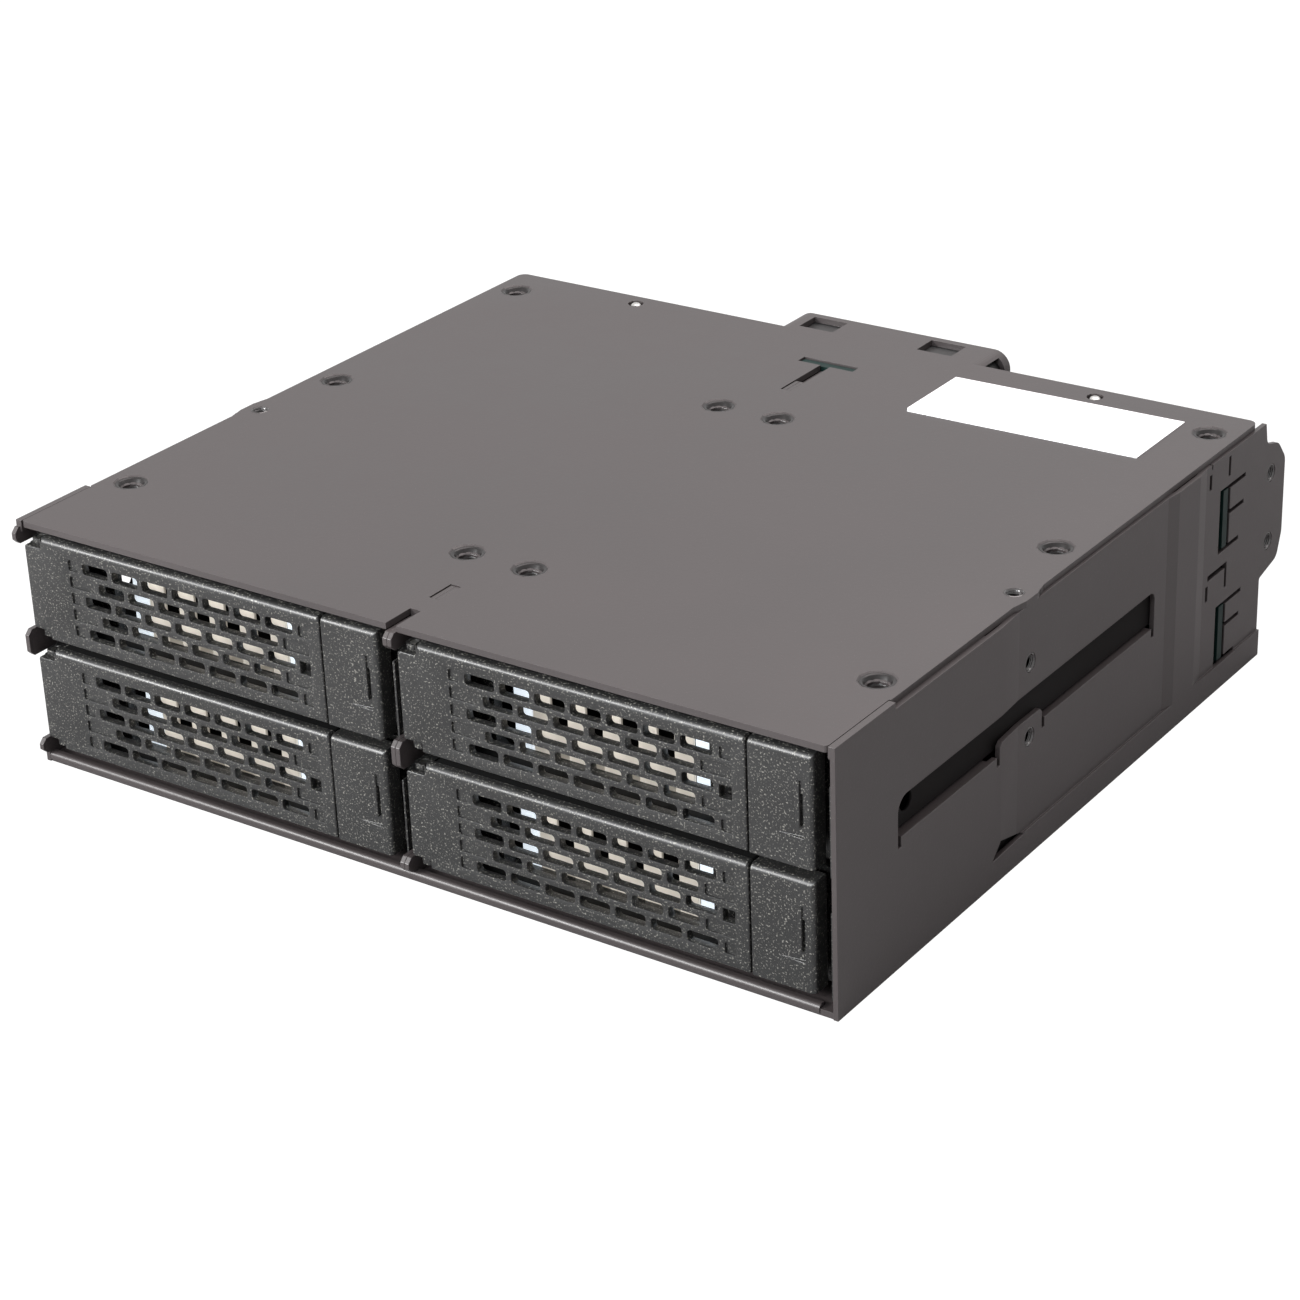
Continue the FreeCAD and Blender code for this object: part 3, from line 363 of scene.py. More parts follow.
def new_piece(name, mesh, finish, body):
    """A finished object at the origin, riding on its body."""
    piece = bpy.data.objects.new(name, mesh)
    bpy.context.scene.collection.objects.link(piece)
    mesh.materials.clear()
    mesh.materials.append(FINISHES[finish])
    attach(piece, body)
    return piece


def smooth(mesh, below=SMOOTH_BELOW):
    """Shades a mesh smooth, with a crease at every bend sharper than an angle."""
    mesh.polygons.foreach_set("use_smooth", np.ones(len(mesh.polygons), dtype=bool))
    mesh.set_sharp_from_angle(angle=below)


def merged_copy(node):
    """A node's triangles with shared corners merged and flat regions joined."""
    shape = bmesh.new()
    shape.from_mesh(NODES[node].data)
    bmesh.ops.remove_doubles(shape, verts=shape.verts, dist=NODE_WELD)
    bmesh.ops.dissolve_limit(shape, angle_limit=FLAT, verts=shape.verts, edges=shape.edges)
    return shape


def softened(node, finish, body, radius, steps=2, below=SMOOTH_BELOW):
    """Stands for a node with the same shape and small rounded edges."""
    shape = merged_copy(node)
    edges = [edge for edge in shape.edges
             if len(edge.link_faces) == 2 and edge.calc_face_angle(0.0) > HARD_BEND]
    bmesh.ops.bevel(shape, geom=edges, offset=radius, offset_type="OFFSET", segments=steps,
                    profile=0.5, affect="EDGES", clamp_overlap=True)
    mesh = bpy.data.meshes.new(node + "_soft")
    shape.to_mesh(mesh)
    shape.free()
    smooth(mesh, below)
    piece = new_piece(node + "_soft", mesh, finish, body)
    normals = piece.modifiers.new("Even normals", "WEIGHTED_NORMAL")
    normals.keep_sharp = True
    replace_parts(piece, node)


# Places and repeated shapes

FACING = {"right": ("Y", 90), "left": ("Y", -90), "rear": ("X", -90), "up": ("Z", 0)}
AROUND = 40
CROSS_SHARPNESS = 6
SAME_PLACE_DIGITS = 7


def corners_of(node):
    """A node's lowest and highest corner at rest."""
    low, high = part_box(node)
    return np.array(low), np.array(high)


def facing(place, side):
    """A placement whose own z axis points to the named side."""
    axis, angle = FACING[side]
    return Matrix.Translation(place) @ Matrix.Rotation(math.radians(angle), 4, axis)


def joined_mesh(name, parts):
    """One mesh from sets of corners and faces, with doubles merged and faces turned outwards."""
    corners = []
    faces = []
    for part_corners, part_faces in parts:
        offset = sum(len(each) for each in corners)
        corners.append(part_corners)
        faces.extend([index + offset for index in face] for face in part_faces)
    mesh = bpy.data.meshes.new(name)
    mesh.from_pydata(np.concatenate(corners), [], faces)
    shape = bmesh.new()
    shape.from_mesh(mesh)
    bmesh.ops.remove_doubles(shape, verts=shape.verts, dist=FINE_WELD)
    bmesh.ops.recalc_face_normals(shape, faces=shape.faces)
    shape.to_mesh(mesh)
    shape.free()
    smooth(mesh)
    return mesh


def repeated(mesh, placements):
    """Copies of a mesh at each placement, as one mesh."""
    shape = bmesh.new()
    for placement in placements:
        part = mesh.copy()
        part.transform(placement)
        shape.from_mesh(part)
        bpy.data.meshes.remove(part)
    joined = bpy.data.meshes.new(mesh.name + "_set")
    shape.to_mesh(joined)
    shape.free()
    smooth(joined)
    return joined


def solid_boxes(node):
    """Lowest and highest corner of each separate solid in a node.

    Corners joined by an edge take the smaller of their two labels until none changes.
    """
    mesh = NODES[node].data
    corners = np.empty(len(mesh.vertices) * 3)
    mesh.vertices.foreach_get("co", corners)
    corners, same = np.unique(np.round(corners.reshape(-1, 3), SAME_PLACE_DIGITS), axis=0,
                              return_inverse=True)
    edges = np.empty(len(mesh.edges) * 2, dtype=int)
    mesh.edges.foreach_get("vertices", edges)
    first, second = same.ravel()[edges].reshape(-1, 2).T
    label = np.arange(len(corners))
    settled = False
    while not settled:
        least = label.copy()
        np.minimum.at(least, first, label[second])
        np.minimum.at(least, second, label[first])
        settled = bool((least == label).all())
        label = least
    return [(corners[label == each].min(axis=0), corners[label == each].max(axis=0))
            for each in np.unique(label)]


# Loops, and surfaces carried along them

PLATE_ROUND_STEPS = 3
RIM_STEPS = 2
INSIDE_WITH_HOLES = 2  # the triangulation fills its loops and leaves the holes in them open
TRIANGULATION_GAP = 1e-9


def rounded_loop(corners, radii, steps=4):
    """A closed outline in a plane, with an arc at each corner.

    Each arc's points are centre + radius * (cos, sin), swept between the two sides it joins.
    """
    corners = np.asarray(corners, dtype=float)
    radii = np.broadcast_to(np.asarray(radii, dtype=float), len(corners))
    ahead = np.roll(corners, -1, axis=0) - corners
    ahead /= np.linalg.norm(ahead, axis=1, keepdims=True)
    behind = np.roll(ahead, 1, axis=0)
    left_of = np.stack([-behind[:, 1], behind[:, 0]], axis=1)
    turn = np.arctan2(behind[:, 0] * ahead[:, 1] - behind[:, 1] * ahead[:, 0],
                      (behind * ahead).sum(axis=1))
    side = np.sign(turn)
    run = radii * np.tan(np.abs(turn) / 2)
    centres = corners - behind * run[:, None] + left_of * (radii * side)[:, None]
    share = np.linspace(0.0, 1.0, steps + 1)
    start = np.arctan2(-left_of[:, 1] * side, -left_of[:, 0] * side)
    angles = start[:, None] + turn[:, None] * share
    arcs = np.stack([np.cos(angles), np.sin(angles)], axis=-1) * radii[:, None, None]
    return (centres[:, None, :] + arcs).reshape(-1, 2)


def box_loop(left, right, low, high, radius, steps=4):
    return rounded_loop([(left, low), (right, low), (right, high), (left, high)], radius, steps)


def round_loop(centre, radius, count):
    """A circle: centre + radius * (cos t, sin t)."""
    turn = np.linspace(0.0, TURN, count, endpoint=False)
    return centre + radius * np.stack([np.cos(turn), np.sin(turn)], axis=1)


def moved_in(loop, distance):
    """A loop whose points move to the left of its run, by one distance or each by its own."""
    ahead = np.roll(loop, -1, axis=0) - loop
    behind = loop - np.roll(loop, 1, axis=0)
    run = ahead / np.linalg.norm(ahead, axis=1, keepdims=True)
    run += behind / np.linalg.norm(behind, axis=1, keepdims=True)
    run /= np.linalg.norm(run, axis=1, keepdims=True)
    return loop + np.stack([-run[:, 1], run[:, 0]], axis=1) * np.reshape(distance, (-1, 1))


def at_depth(loop, depth):
    """A loop in x and z, set at one depth in y or each point at its own."""
    return np.stack([loop[:, 0], np.broadcast_to(depth, len(loop)), loop[:, 1]], axis=1)


def quarter(radius, steps):
    """A quarter round as (step inwards, step down) pairs: radius * (1 - sin t, 1 - cos t)."""
    turn = np.linspace(0.0, math.pi / 2, steps + 1)
    return list(zip(radius * (1 - np.sin(turn)), radius * (1 - np.cos(turn))))


def ring_faces(rings, flip=False):
    """Quads between stacked loops of the same length, and the index of each ring's points.

    Quad (v, u) joins points (v, u), (v, u+1), (v+1, u+1) and (v+1, u), and u wraps round.
    """
    index = np.arange(rings.shape[0] * rings.shape[1]).reshape(rings.shape[:2])
    ahead = np.roll(index, -1, axis=1)
    quads = np.stack([index[:-1], ahead[:-1], ahead[1:], index[1:]], axis=-1).reshape(-1, 4)
    return (quads[:, ::-1] if flip else quads), index


def inside_loop(places, loop):
    """Whether each place lies inside a loop.

    It does where the loop crosses the ray from the place along +x an odd number of times.
    """
    start = np.asarray(loop)
    end = np.roll(start, -1, axis=0)
    x, z = places[:, 0:1], places[:, 1:2]
    spans = (start[:, 1] > z) != (end[:, 1] > z)
    rise = np.where(end[:, 1] == start[:, 1], 1.0, end[:, 1] - start[:, 1])
    cross = start[:, 0] + (z - start[:, 1]) * (end[:, 0] - start[:, 0]) / rise
    return (spans & (x < cross)).sum(axis=1) % 2 == 1


def cap_faces(loops):
    """Triangles that fill the first loop and leave the others open, all in one plane.

    loops holds (points, index of their corners in the mesh).
    """
    flat = [Vector(point) for points, _ in loops for point in points]
    owner = np.concatenate([index for _, index in loops])
    edges = []
    start = 0
    for points, _ in loops:
        count = len(points)
        edges += [(start + i, start + (i + 1) % count) for i in range(count)]
        start += count
    found, _, triangles, origin, *_ = delaunay_2d_cdt(flat, edges, [], INSIDE_WITH_HOLES,
                                                      TRIANGULATION_GAP)
    middle = np.array([np.mean([found[i] for i in triangle], axis=0) for triangle in triangles])
    keep = inside_loop(middle, loops[0][0])
    for points, _ in loops[1:]:
        keep &= ~inside_loop(middle, points)
    return [[int(owner[origin[i][0]]) for i in triangle]
            for triangle, kept in zip(triangles, keep) if kept]


def perforated_plate(outline, rounding, openings, recesses, front, back, rim):
    """A plate that faces -Y, with a rounded front edge and round-rimmed openings.

    outline is a loop in x and z that runs anticlockwise seen from the front, rounding its
    edge radius at each point, openings and recesses are loops that run the same way, and
    front and back are the two depths. Each edge is a quarter round carried along its loop.
    Returns corners and faces.
    """
    corners = []
    faces = []
    front_loops = []
    back_loops = []

    def carry(rings, flip=False):
        """Adds the quads between rings, and returns where each ring's points are."""
        rings = np.array(rings)
        quads, index = ring_faces(rings, flip)
        offset = sum(len(part) for part in corners)
        corners.append(rings.reshape(-1, 3))
        faces.extend((quads + offset).tolist())
        index = index + offset
        front_loops.append((rings[0][:, ::2], index[0]))
        return index

    rings = [at_depth(moved_in(outline, rounding * inward), front + rounding * down)
             for inward, down in quarter(1.0, PLATE_ROUND_STEPS)]
    rings.append(at_depth(outline, back))
    back_loops.append((outline, carry(rings, flip=True)[-1]))
    rim_steps = quarter(rim, RIM_STEPS)
    for loop in openings:
        rings = [at_depth(moved_in(loop, -inward), front + down) for inward, down in rim_steps]
        rings += [at_depth(moved_in(loop, -inward), back - down)
                  for inward, down in rim_steps[::-1]]
        back_loops.append((rings[-1][:, ::2], carry(rings)[-1]))
    for loop in recesses:
        rings = [at_depth(moved_in(loop, -inward), front + down) for inward, down in rim_steps]
        rings.append(at_depth(loop, front + sizes().recess_depth))
        faces.append(carry(rings)[-1].tolist())
    faces.extend(cap_faces(front_loops))
    faces.extend(face[::-1] for face in cap_faces(back_loops))
    return np.concatenate(corners), faces


def ring_wall(outer, inner, start, end, rim):
    """A wall between two loops, from one depth to the other, grooved finely at its rear rim.

    The rings run back along the outer loop, dip in by a rim's groove, cross the rear end and
    come forward along the inner loop, and quads close the last ring to the first.
    """
    rim_steps = quarter(rim, RIM_STEPS)
    rings = [at_depth(outer, start), at_depth(outer, end - rim)]
    rings += [at_depth(moved_in(outer, rim - inward), end - down)
              for inward, down in rim_steps[-2::-1]]
    rings += [at_depth(moved_in(inner, inward - rim), end - down) for inward, down in rim_steps]
    rings.append(at_depth(inner, start))
    rings = np.array(rings)
    faces, index = ring_faces(rings)
    first, last = index[0], index[-1]
    closing = np.stack([last, np.roll(last, -1), np.roll(first, -1), first], axis=1)
    return rings.reshape(-1, 3), faces.tolist() + closing.tolist()


def upright_block(plan, low, high):
    """A solid whose plan is a loop in x and y, carried from one height to the other."""
    rings = np.array([np.column_stack([plan, np.full(len(plan), z)]) for z in (low, high)])
    faces, index = ring_faces(rings)
    return rings.reshape(-1, 3), faces.tolist() + [index[0, ::-1].tolist(), index[1].tolist()]


def block_between(low, high):
    """A plain box from its lowest to its highest corner."""
    plan = np.array([(low[0], low[1]), (high[0], low[1]), (high[0], high[1]), (low[0], high[1])])
    return upright_block(plan, low[2], high[2])


def turned(name, profile):
    """A turned form about the z axis, from rows of radius, height and cross share.

    A row's radius at angle t is radius * (1 - share * (1 - |cos 2t| ** 6)), so a share of 0
    gives a round ring and a larger one the four arms of a cross recess. Rows are in mm.
    """
    radius, height, share = np.array(profile, dtype=float).T[:, :, None]
    turn = np.linspace(0.0, TURN, AROUND, endpoint=False)
    spread = radius * (1 - share * (1 - np.abs(np.cos(2 * turn)) ** CROSS_SHARPNESS))
    rings = np.stack([spread * np.cos(turn), spread * np.sin(turn),
                      np.broadcast_to(height, spread.shape)], axis=-1) * MM
    return joined_mesh(name, [(rings.reshape(-1, 3), ring_faces(rings)[0].tolist())])


# The grille door. It faces -Y, with its hinge on the left and its lamp on the right

GRILLE_ROWS = range(-2, 3)
GRILLE_COLUMNS = 7
GRILLE_INSET = 11.9 * MM
GRILLE_DROP = 0.2 * MM
ROW_PITCH = 2.75 * MM
CELL_HEIGHT = 1.8 * MM
CELL_POST = 0.93 * MM
CELL_RIM = 0.1 * MM
BLIND_GAP = 1.1 * MM
BLIND_WIDTH = 1.8 * MM
LAMP_INSET = 3.25 * MM
LAMP_HOLE = 2.0 * MM
LAMP_CORNER = 0.15 * MM
LAMP_GAP = 0.99 * MM
NOTCH_WIDTH = 3.3 * MM
NOTCH_TOP = 1.9 * MM
NOTCH_FOOT = 1.4 * MM
OUTLINE_CORNERS = np.array([0.25, 0.3, 0.3, 0.25, 0.2, 0.4, 0.4, 0.2]) * MM
DOOR_EDGE = 0.25 * MM
DOOR_FOOT_EDGE = 0.4 * MM
EDGE_BAND = 0.02 * MM
DOOR_SKIN = 1.4 * MM
DOOR_WALL = 1.1 * MM
WALL_STEP = 0.9 * MM
WALL_CORNER = 0.3 * MM
WALL_RIM = 0.15 * MM
WALL_OVERLAP = 0.1 * MM
HINGE_REACH = 3.4 * MM
HINGE_OVERLAP = 0.2 * MM
HINGE_CORNERS = np.array([0.1, 0.1, 0.1, 1.5]) * MM
SEAM = 0.02 * MM


def grille_cells(left, middle, pitch, width):
    """Start, width and height of each open cell, seven and six to a row by turns."""
    cells = []
    for row in GRILLE_ROWS:
        inset = row % 2
        starts = left + (np.arange(GRILLE_COLUMNS - inset) + inset / 2) * pitch
        cells += [(start, width, middle + row * ROW_PITCH) for start in starts]
    return cells


def blind_cells(left, middle, pitch, width):
    """Start, width and height of the closed cells at both ends of each row.

    The lamp takes the place of the middle row's right one.
    """
    right = left + (GRILLE_COLUMNS - 1) * pitch + width
    cells = []
    for row in GRILLE_ROWS:
        inset = (row % 2) * pitch / 2
        z = middle + row * ROW_PITCH
        cells.append((left - BLIND_GAP - BLIND_WIDTH, BLIND_WIDTH + inset, z))
        if row:
            cells.append((right + BLIND_GAP - inset, BLIND_WIDTH + inset, z))
    return cells


def cell_loops(cells, radius):
    half = CELL_HEIGHT / 2
    return [box_loop(x, x + width, z - half, z + half, radius) for x, width, z in cells]


def grille_loops(left, right, foot, top, lamp_z):
    """Loops of the open cells and the lamp's hole, and loops of the blind cells."""
    lamp_x = right - LAMP_INSET
    start = left + GRILLE_INSET
    pitch = (lamp_x - start - LAMP_GAP) / GRILLE_COLUMNS
    row = (start, (foot + top) / 2 - GRILLE_DROP, pitch, pitch - CELL_POST)
    half = LAMP_HOLE / 2
    lamp = box_loop(lamp_x - half, lamp_x + half, lamp_z - half, lamp_z + half, LAMP_CORNER)
    openings = cell_loops(grille_cells(*row), sizes().cell_corner) + [lamp]
    return openings, cell_loops(blind_cells(*row), sizes().recess_corner)


def door_outline(left, right, foot, top):
    """The skin's outline, notched at the hinge, and its edge's radius at each point."""
    notch = left + NOTCH_WIDTH
    outline = rounded_loop([(notch, foot), (right, foot), (right, top), (notch, top),
                            (notch, top - NOTCH_TOP), (left, top - NOTCH_TOP),
                            (left, foot + NOTCH_FOOT), (notch, foot + NOTCH_FOOT)],
                           OUTLINE_CORNERS)
    rounding = np.full(len(outline), DOOR_EDGE)
    rounding[outline[:, 1] > top - EDGE_BAND] = sizes().door_round
    rounding[outline[:, 1] < foot + EDGE_BAND] = DOOR_FOOT_EDGE
    return outline, rounding


def door_meshes(node):
    """The perforated skin with its solid hinge edge, and the four walls behind it."""
    (left, front, foot), (right, rear, top) = corners_of(node)
    lamp_low, lamp_high = corners_of(node.replace("door", "lamp"))
    openings, recesses = grille_loops(left, right, foot, top, (lamp_low[2] + lamp_high[2]) / 2)
    outline, rounding = door_outline(left, right, foot, top)
    back = front + DOOR_SKIN
    skin = perforated_plate(outline, rounding, openings, recesses, front, back, CELL_RIM)
    wall_start = back - WALL_OVERLAP
    wall_left = left + NOTCH_WIDTH + WALL_STEP
    outer = box_loop(wall_left, right - SEAM, foot + SEAM, top - SEAM, WALL_CORNER)
    inner = box_loop(wall_left + DOOR_WALL, right - DOOR_WALL, foot + DOOR_WALL,
                     top - DOOR_WALL, WALL_CORNER)
    walls = ring_wall(outer, inner, wall_start, rear, WALL_RIM)
    hinge_right, hinge_rear = wall_left + HINGE_OVERLAP, front + HINGE_REACH
    plan = rounded_loop([(left + SEAM, wall_start), (hinge_right, wall_start),
                         (hinge_right, hinge_rear), (left + SEAM, hinge_rear)], HINGE_CORNERS)
    hinge_edge = upright_block(plan, foot + NOTCH_FOOT + SEAM, top - NOTCH_TOP - SEAM)
    return (joined_mesh(node + "_moulding", [skin, hinge_edge]),
            joined_mesh(node + "_walls", [walls]))


# The latch's finger rib. Its sides and ends are shares of the latch's width and height

RIB_SIDES = (0.74, 0.81)
RIB_ENDS = (0.36, 0.76)
RIB_RISE = 0.3 * MM
RIB_ROOT = 0.6 * MM
RIB_CORNERS = np.array([0.15, 0.15, 0.05, 0.05]) * MM


def latch_rib(node):
    """The upright finger rib on a latch's face."""
    low, high = corners_of(node)
    left, right = (low[0] + share * (high[0] - low[0]) for share in RIB_SIDES)
    foot, head = (low[2] + share * (high[2] - low[2]) for share in RIB_ENDS)
    face, root = low[1] - RIB_RISE, low[1] + RIB_ROOT
    plan = rounded_loop([(left, face), (right, face), (right, root), (left, root)], RIB_CORNERS)
    return joined_mesh(node + "_rib", [upright_block(plan, foot, head)])


# Fasteners, as rows of radius and height in mm and the share of a cross recess

FLAT_SCREW = [(0, -2.1, 0), (0.5, -2.0, 0.6), (1.05, -1.5, 0.5), (1.4, -1.45, 0),
              (1.5, -1.35, 0), (2.0, -0.15, 0), (2.2, -0.02, 0), (2.5, -0.02, 0),
              (2.68, -0.12, 0), (2.7, -0.2, 0), (1.75, -1.2, 0), (1.6, -1.9, 0),
              (1.4, -2.3, 0), (1.4, -3.9, 0), (0, -3.9, 0)]
SCREW_TIP = [(0, 0, 0), (0.55, 0, 0), (0.75, -0.12, 0), (0.98, -0.4, 0), (0.86, -0.6, 0),
             (1.04, -0.8, 0), (0.86, -1.0, 0), (1.04, -1.2, 0), (0.9, -1.9, 0), (0, -1.9, 0)]
PAN_SCREW = [(0, -0.5, 0), (0.7, -0.45, 0.6), (1.2, 0.95, 0.64), (1.3, 1.0, 0.6),
             (1.5, 1.0, 0), (2.2, 0.75, 0), (2.5, 0.35, 0), (2.55, 0.0, 0), (1.3, 0.0, 0),
             (1.3, -5.0, 0), (0, -5.0, 0)]
TAPPED_THREAD = [(1.46, -0.06, 0), (1.3, 0.0, 0), (1.22, -0.08, 0), (1.12, -0.25, 0),
                 (1.26, -0.4, 0), (1.12, -0.55, 0), (1.26, -0.7, 0)]
TAPPED_RIM = TAPPED_THREAD + [(1.2, -0.78, 0), (1.46, -0.78, 0), (1.46, -0.06, 0)]
TAPPED_COLLAR = TAPPED_THREAD + [(1.12, -0.85, 0), (1.26, -1.0, 0), (1.12, -1.15, 0),
                                 (1.26, -1.3, 0), (1.12, -1.45, 0), (1.26, -1.6, 0),
                                 (1.2, -2.0, 0), (1.46, -2.0, 0), (1.46, -0.06, 0)]
BAY_HOLE_BACK = 84.5 * MM
BAY_HOLE_PITCH = 79.25 * MM
BAY_HOLE_HEIGHTS = (19.16 * MM, 31.0 * MM)
SIDE_RIM_INSET = 0.41 * MM
TOP_HOLE_INSET = 3.15 * MM
TOP_RIM_SINK = 0.05 * MM
TIP_X = 45.0 * MM
TIP_BACK = 13.0 * MM
TIP_SINK = 0.1 * MM
FAN_SCREW_HALF = 16.0 * MM


def add_flat_screws():
    """A cross-recessed screw in place of each plain one of the cover and the divider."""
    for node in ("cover_screws", "divider_screws"):
        heads = [facing((*((low + high) / 2)[:2], high[2]), "up")
                 for low, high in solid_boxes(node)]
        mesh = repeated(turned("flat_screw", FLAT_SCREW), heads)
        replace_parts(new_piece(node + "_cross", mesh, "screw", "cage"), node)


def add_screw_tips():
    """The ends of the bracket screws that stand in the cover's holes."""
    tips = [facing((side * TIP_X, CAD_HIGH[1] - TIP_BACK, CAD_HIGH[2] - TIP_SINK), "up")
            for side, _ in SIDES]
    new_piece("bracket_screw_tips", repeated(turned("tip", SCREW_TIP), tips), "bright", "cage")


def add_tapped_holes():
    """The threaded rims of the front bay holes, and the deeper collars of the rear ones."""
    half, rear, top = CAD_HIGH
    front_hole = rear - BAY_HOLE_BACK
    rims = [facing((side * (half - TOP_HOLE_INSET), front_hole, top - TOP_RIM_SINK), "up")
            for side, _ in SIDES]
    collars = []
    for side, name in SIDES:
        for height in BAY_HOLE_HEIGHTS:
            x = side * (half - SIDE_RIM_INSET)
            rims.append(facing((x, front_hole, height), name))
            collars.append(facing((x, front_hole + BAY_HOLE_PITCH, height), name))
    for piece, name, profile, places in (("tapped_rims", "rim", TAPPED_RIM, rims),
                                         ("tapped_collars", "collar", TAPPED_COLLAR, collars)):
        new_piece(piece, repeated(turned(name, profile), places), "tapped", "cage")


def add_fan_screws():
    """The four screws that hold the fan by its frame's corners."""
    low, high = corners_of("fan_housing")
    middle = (low + high) / 2
    places = [facing((middle[0] + x * FAN_SCREW_HALF, high[1] + FAN_FLANGE,
                      middle[2] + z * FAN_SCREW_HALF), "rear")
              for x in (-1, 1) for z in (-1, 1)]
    new_piece("fan_screws", repeated(turned("pan_screw", PAN_SCREW), places), "screw", "cage")


# Rear parts

CONTACT_COUNTS = {"data_port": 7, "power_port": 15}
CONTACT_SHARE = 0.45
CONTACT_INSET = 2.6 * MM
CONTACT_RAISE = 1.0 * MM
CONTACT_FRONT = 5.2 * MM
CONTACT_REAR = 1.1 * MM
CONTACT_UNDER = 0.05 * MM
CONTACT_OVER = 0.06 * MM
FAN_BORE = 19.0 * MM
FAN_BORE_POINTS = 72
FAN_FLANGE = 1.9 * MM
FAN_CORNER = 2.5 * MM
FAN_CORNER_STEPS = 6
FAN_EDGE = 0.1 * MM
FAN_OVERLAP = 0.05 * MM


def add_contacts(port, count):
    """A row of contacts on a port's tongue, each a share of the pitch wide."""
    low, high = corners_of(port)
    left, right = low[0] + CONTACT_INSET, high[0] - CONTACT_INSET
    pitch = (right - left) / count
    z = (low[2] + high[2]) / 2 + CONTACT_RAISE
    strips = [block_between((left + i * pitch, high[1] - CONTACT_FRONT, z - CONTACT_UNDER),
                            (left + (i + CONTACT_SHARE) * pitch, high[1] - CONTACT_REAR,
                             z + CONTACT_OVER))
              for i in range(count)]
    name = port + "_contacts"
    new_piece(name, joined_mesh(name, strips), "gold", "cage")


def add_fan_flange():
    """The rear flange of the fan's frame, a square plate with a round bore."""
    low, high = corners_of("fan_housing")
    outline = box_loop(low[0], high[0], low[2], high[2], FAN_CORNER, FAN_CORNER_STEPS)
    bore = round_loop(((low + high) / 2)[[0, 2]], FAN_BORE, FAN_BORE_POINTS)
    flange = perforated_plate(outline, np.full(len(outline), FAN_EDGE), [bore], [],
                              high[1] - FAN_OVERLAP, high[1] + FAN_FLANGE, FAN_EDGE)
    new_piece("fan_rear_flange", joined_mesh("fan_rear_flange", [flange]), "black", "cage")


# Stage

WHITE = (1.0, 1.0, 1.0, 1.0)
WORLD_STRENGTH = 0.45
FLOOR_HALF = 3.0
FLOOR_GRAIN = 40.0
FLOOR_TONES = ((0.34, 0.34, 0.34, 1), (0.36, 0.36, 0.36, 1))
FLOOR_GLOW = 1.2
FLOOR_GLOW_SHARE = 0.84
LAMPS = (  # name, place, target, size, power, colour
    ("Key", (0.05, 0.3, 0.9), (0, 0, 0.02), (0.9, 0.9), 9.0, (1.0, 0.9, 0.9)),
    ("Rim", (-0.47, -0.75, 0.42), (0, -0.06, 0.02), (0.35, 0.2), 13.0, (1, 1, 1)),
    ("Front", (0.05, -0.9, 0.45), (0, -0.06, 0.02), (0.4, 0.3), 8.0, (0.93, 0.97, 1.0)),
)
CAMERA_PLACE = (0.269534, -0.381229, 0.236041)
CAMERA_TURN = math.radians(35.708)
CAMERA_TILT = math.radians(25.957)
CAMERA_ROLL = math.radians(-2.303)
CAMERA_LENS = 90.09
CAMERA_SENSOR = 36.0
CAMERA_NEAR = 0.01


def add_lamp(name, place, target, size, power, colour_value):
    lamp = bpy.data.lights.new(name, "AREA")
    lamp.shape = "RECTANGLE"
    lamp.size, lamp.size_y = size
    lamp.energy = power
    lamp.color = colour_value
    holder = bpy.data.objects.new(name, lamp)
    holder.location = place
    holder.rotation_euler = (Vector(target) - Vector(place)).to_track_quat("-Z", "Y").to_euler()
    bpy.context.scene.collection.objects.link(holder)


def seen_directly(tree):
    """1 for rays from the camera, and for those that gloss or glass sends on."""
    path = add_node(tree, "ShaderNodeLightPath").outputs
    seen = greater_of(tree, path["Is Camera Ray"], path["Is Glossy Ray"])
    return greater_of(tree, seen, path["Is Transmission Ray"])


def add_white_world():
    """Even white light of a low strength, seen at full white."""
    world = bpy.data.worlds.new("Studio")
    world.use_nodes = True
    bpy.context.scene.world = world
    tree = world.node_tree
    background = tree.nodes["Background"]
    background.inputs["Color"].default_value = WHITE
    put(tree, remap(tree, seen_directly(tree), 0.0, 1.0, WORLD_STRENGTH, 1.0),
        background.inputs["Strength"])


def floor_material():
    """Pale grey that takes the shadow, mixed with white for rays from the camera."""
    material, tree, shader = new_material("White floor", Roughness=0.9)
    grain = noise_node(tree, object_coordinates(tree), FLOOR_GRAIN)
    put(tree, blend_colours(tree, grain, *FLOOR_TONES), shader.inputs["Base Color"])
    light = add_node(tree, "ShaderNodeEmission")
    light.inputs["Strength"].default_value = FLOOR_GLOW
    mixer = add_node(tree, "ShaderNodeMixShader")
    path = add_node(tree, "ShaderNodeLightPath").outputs
    put(tree, remap(tree, path["Is Camera Ray"], 0.0, 1.0, 0.0, FLOOR_GLOW_SHARE),
        mixer.inputs["Fac"])
    tree.links.new(shader.outputs[0], mixer.inputs[1])
    tree.links.new(light.outputs[0], mixer.inputs[2])
    tree.links.new(mixer.outputs[0], tree.nodes["Material Output"].inputs["Surface"])
    return material


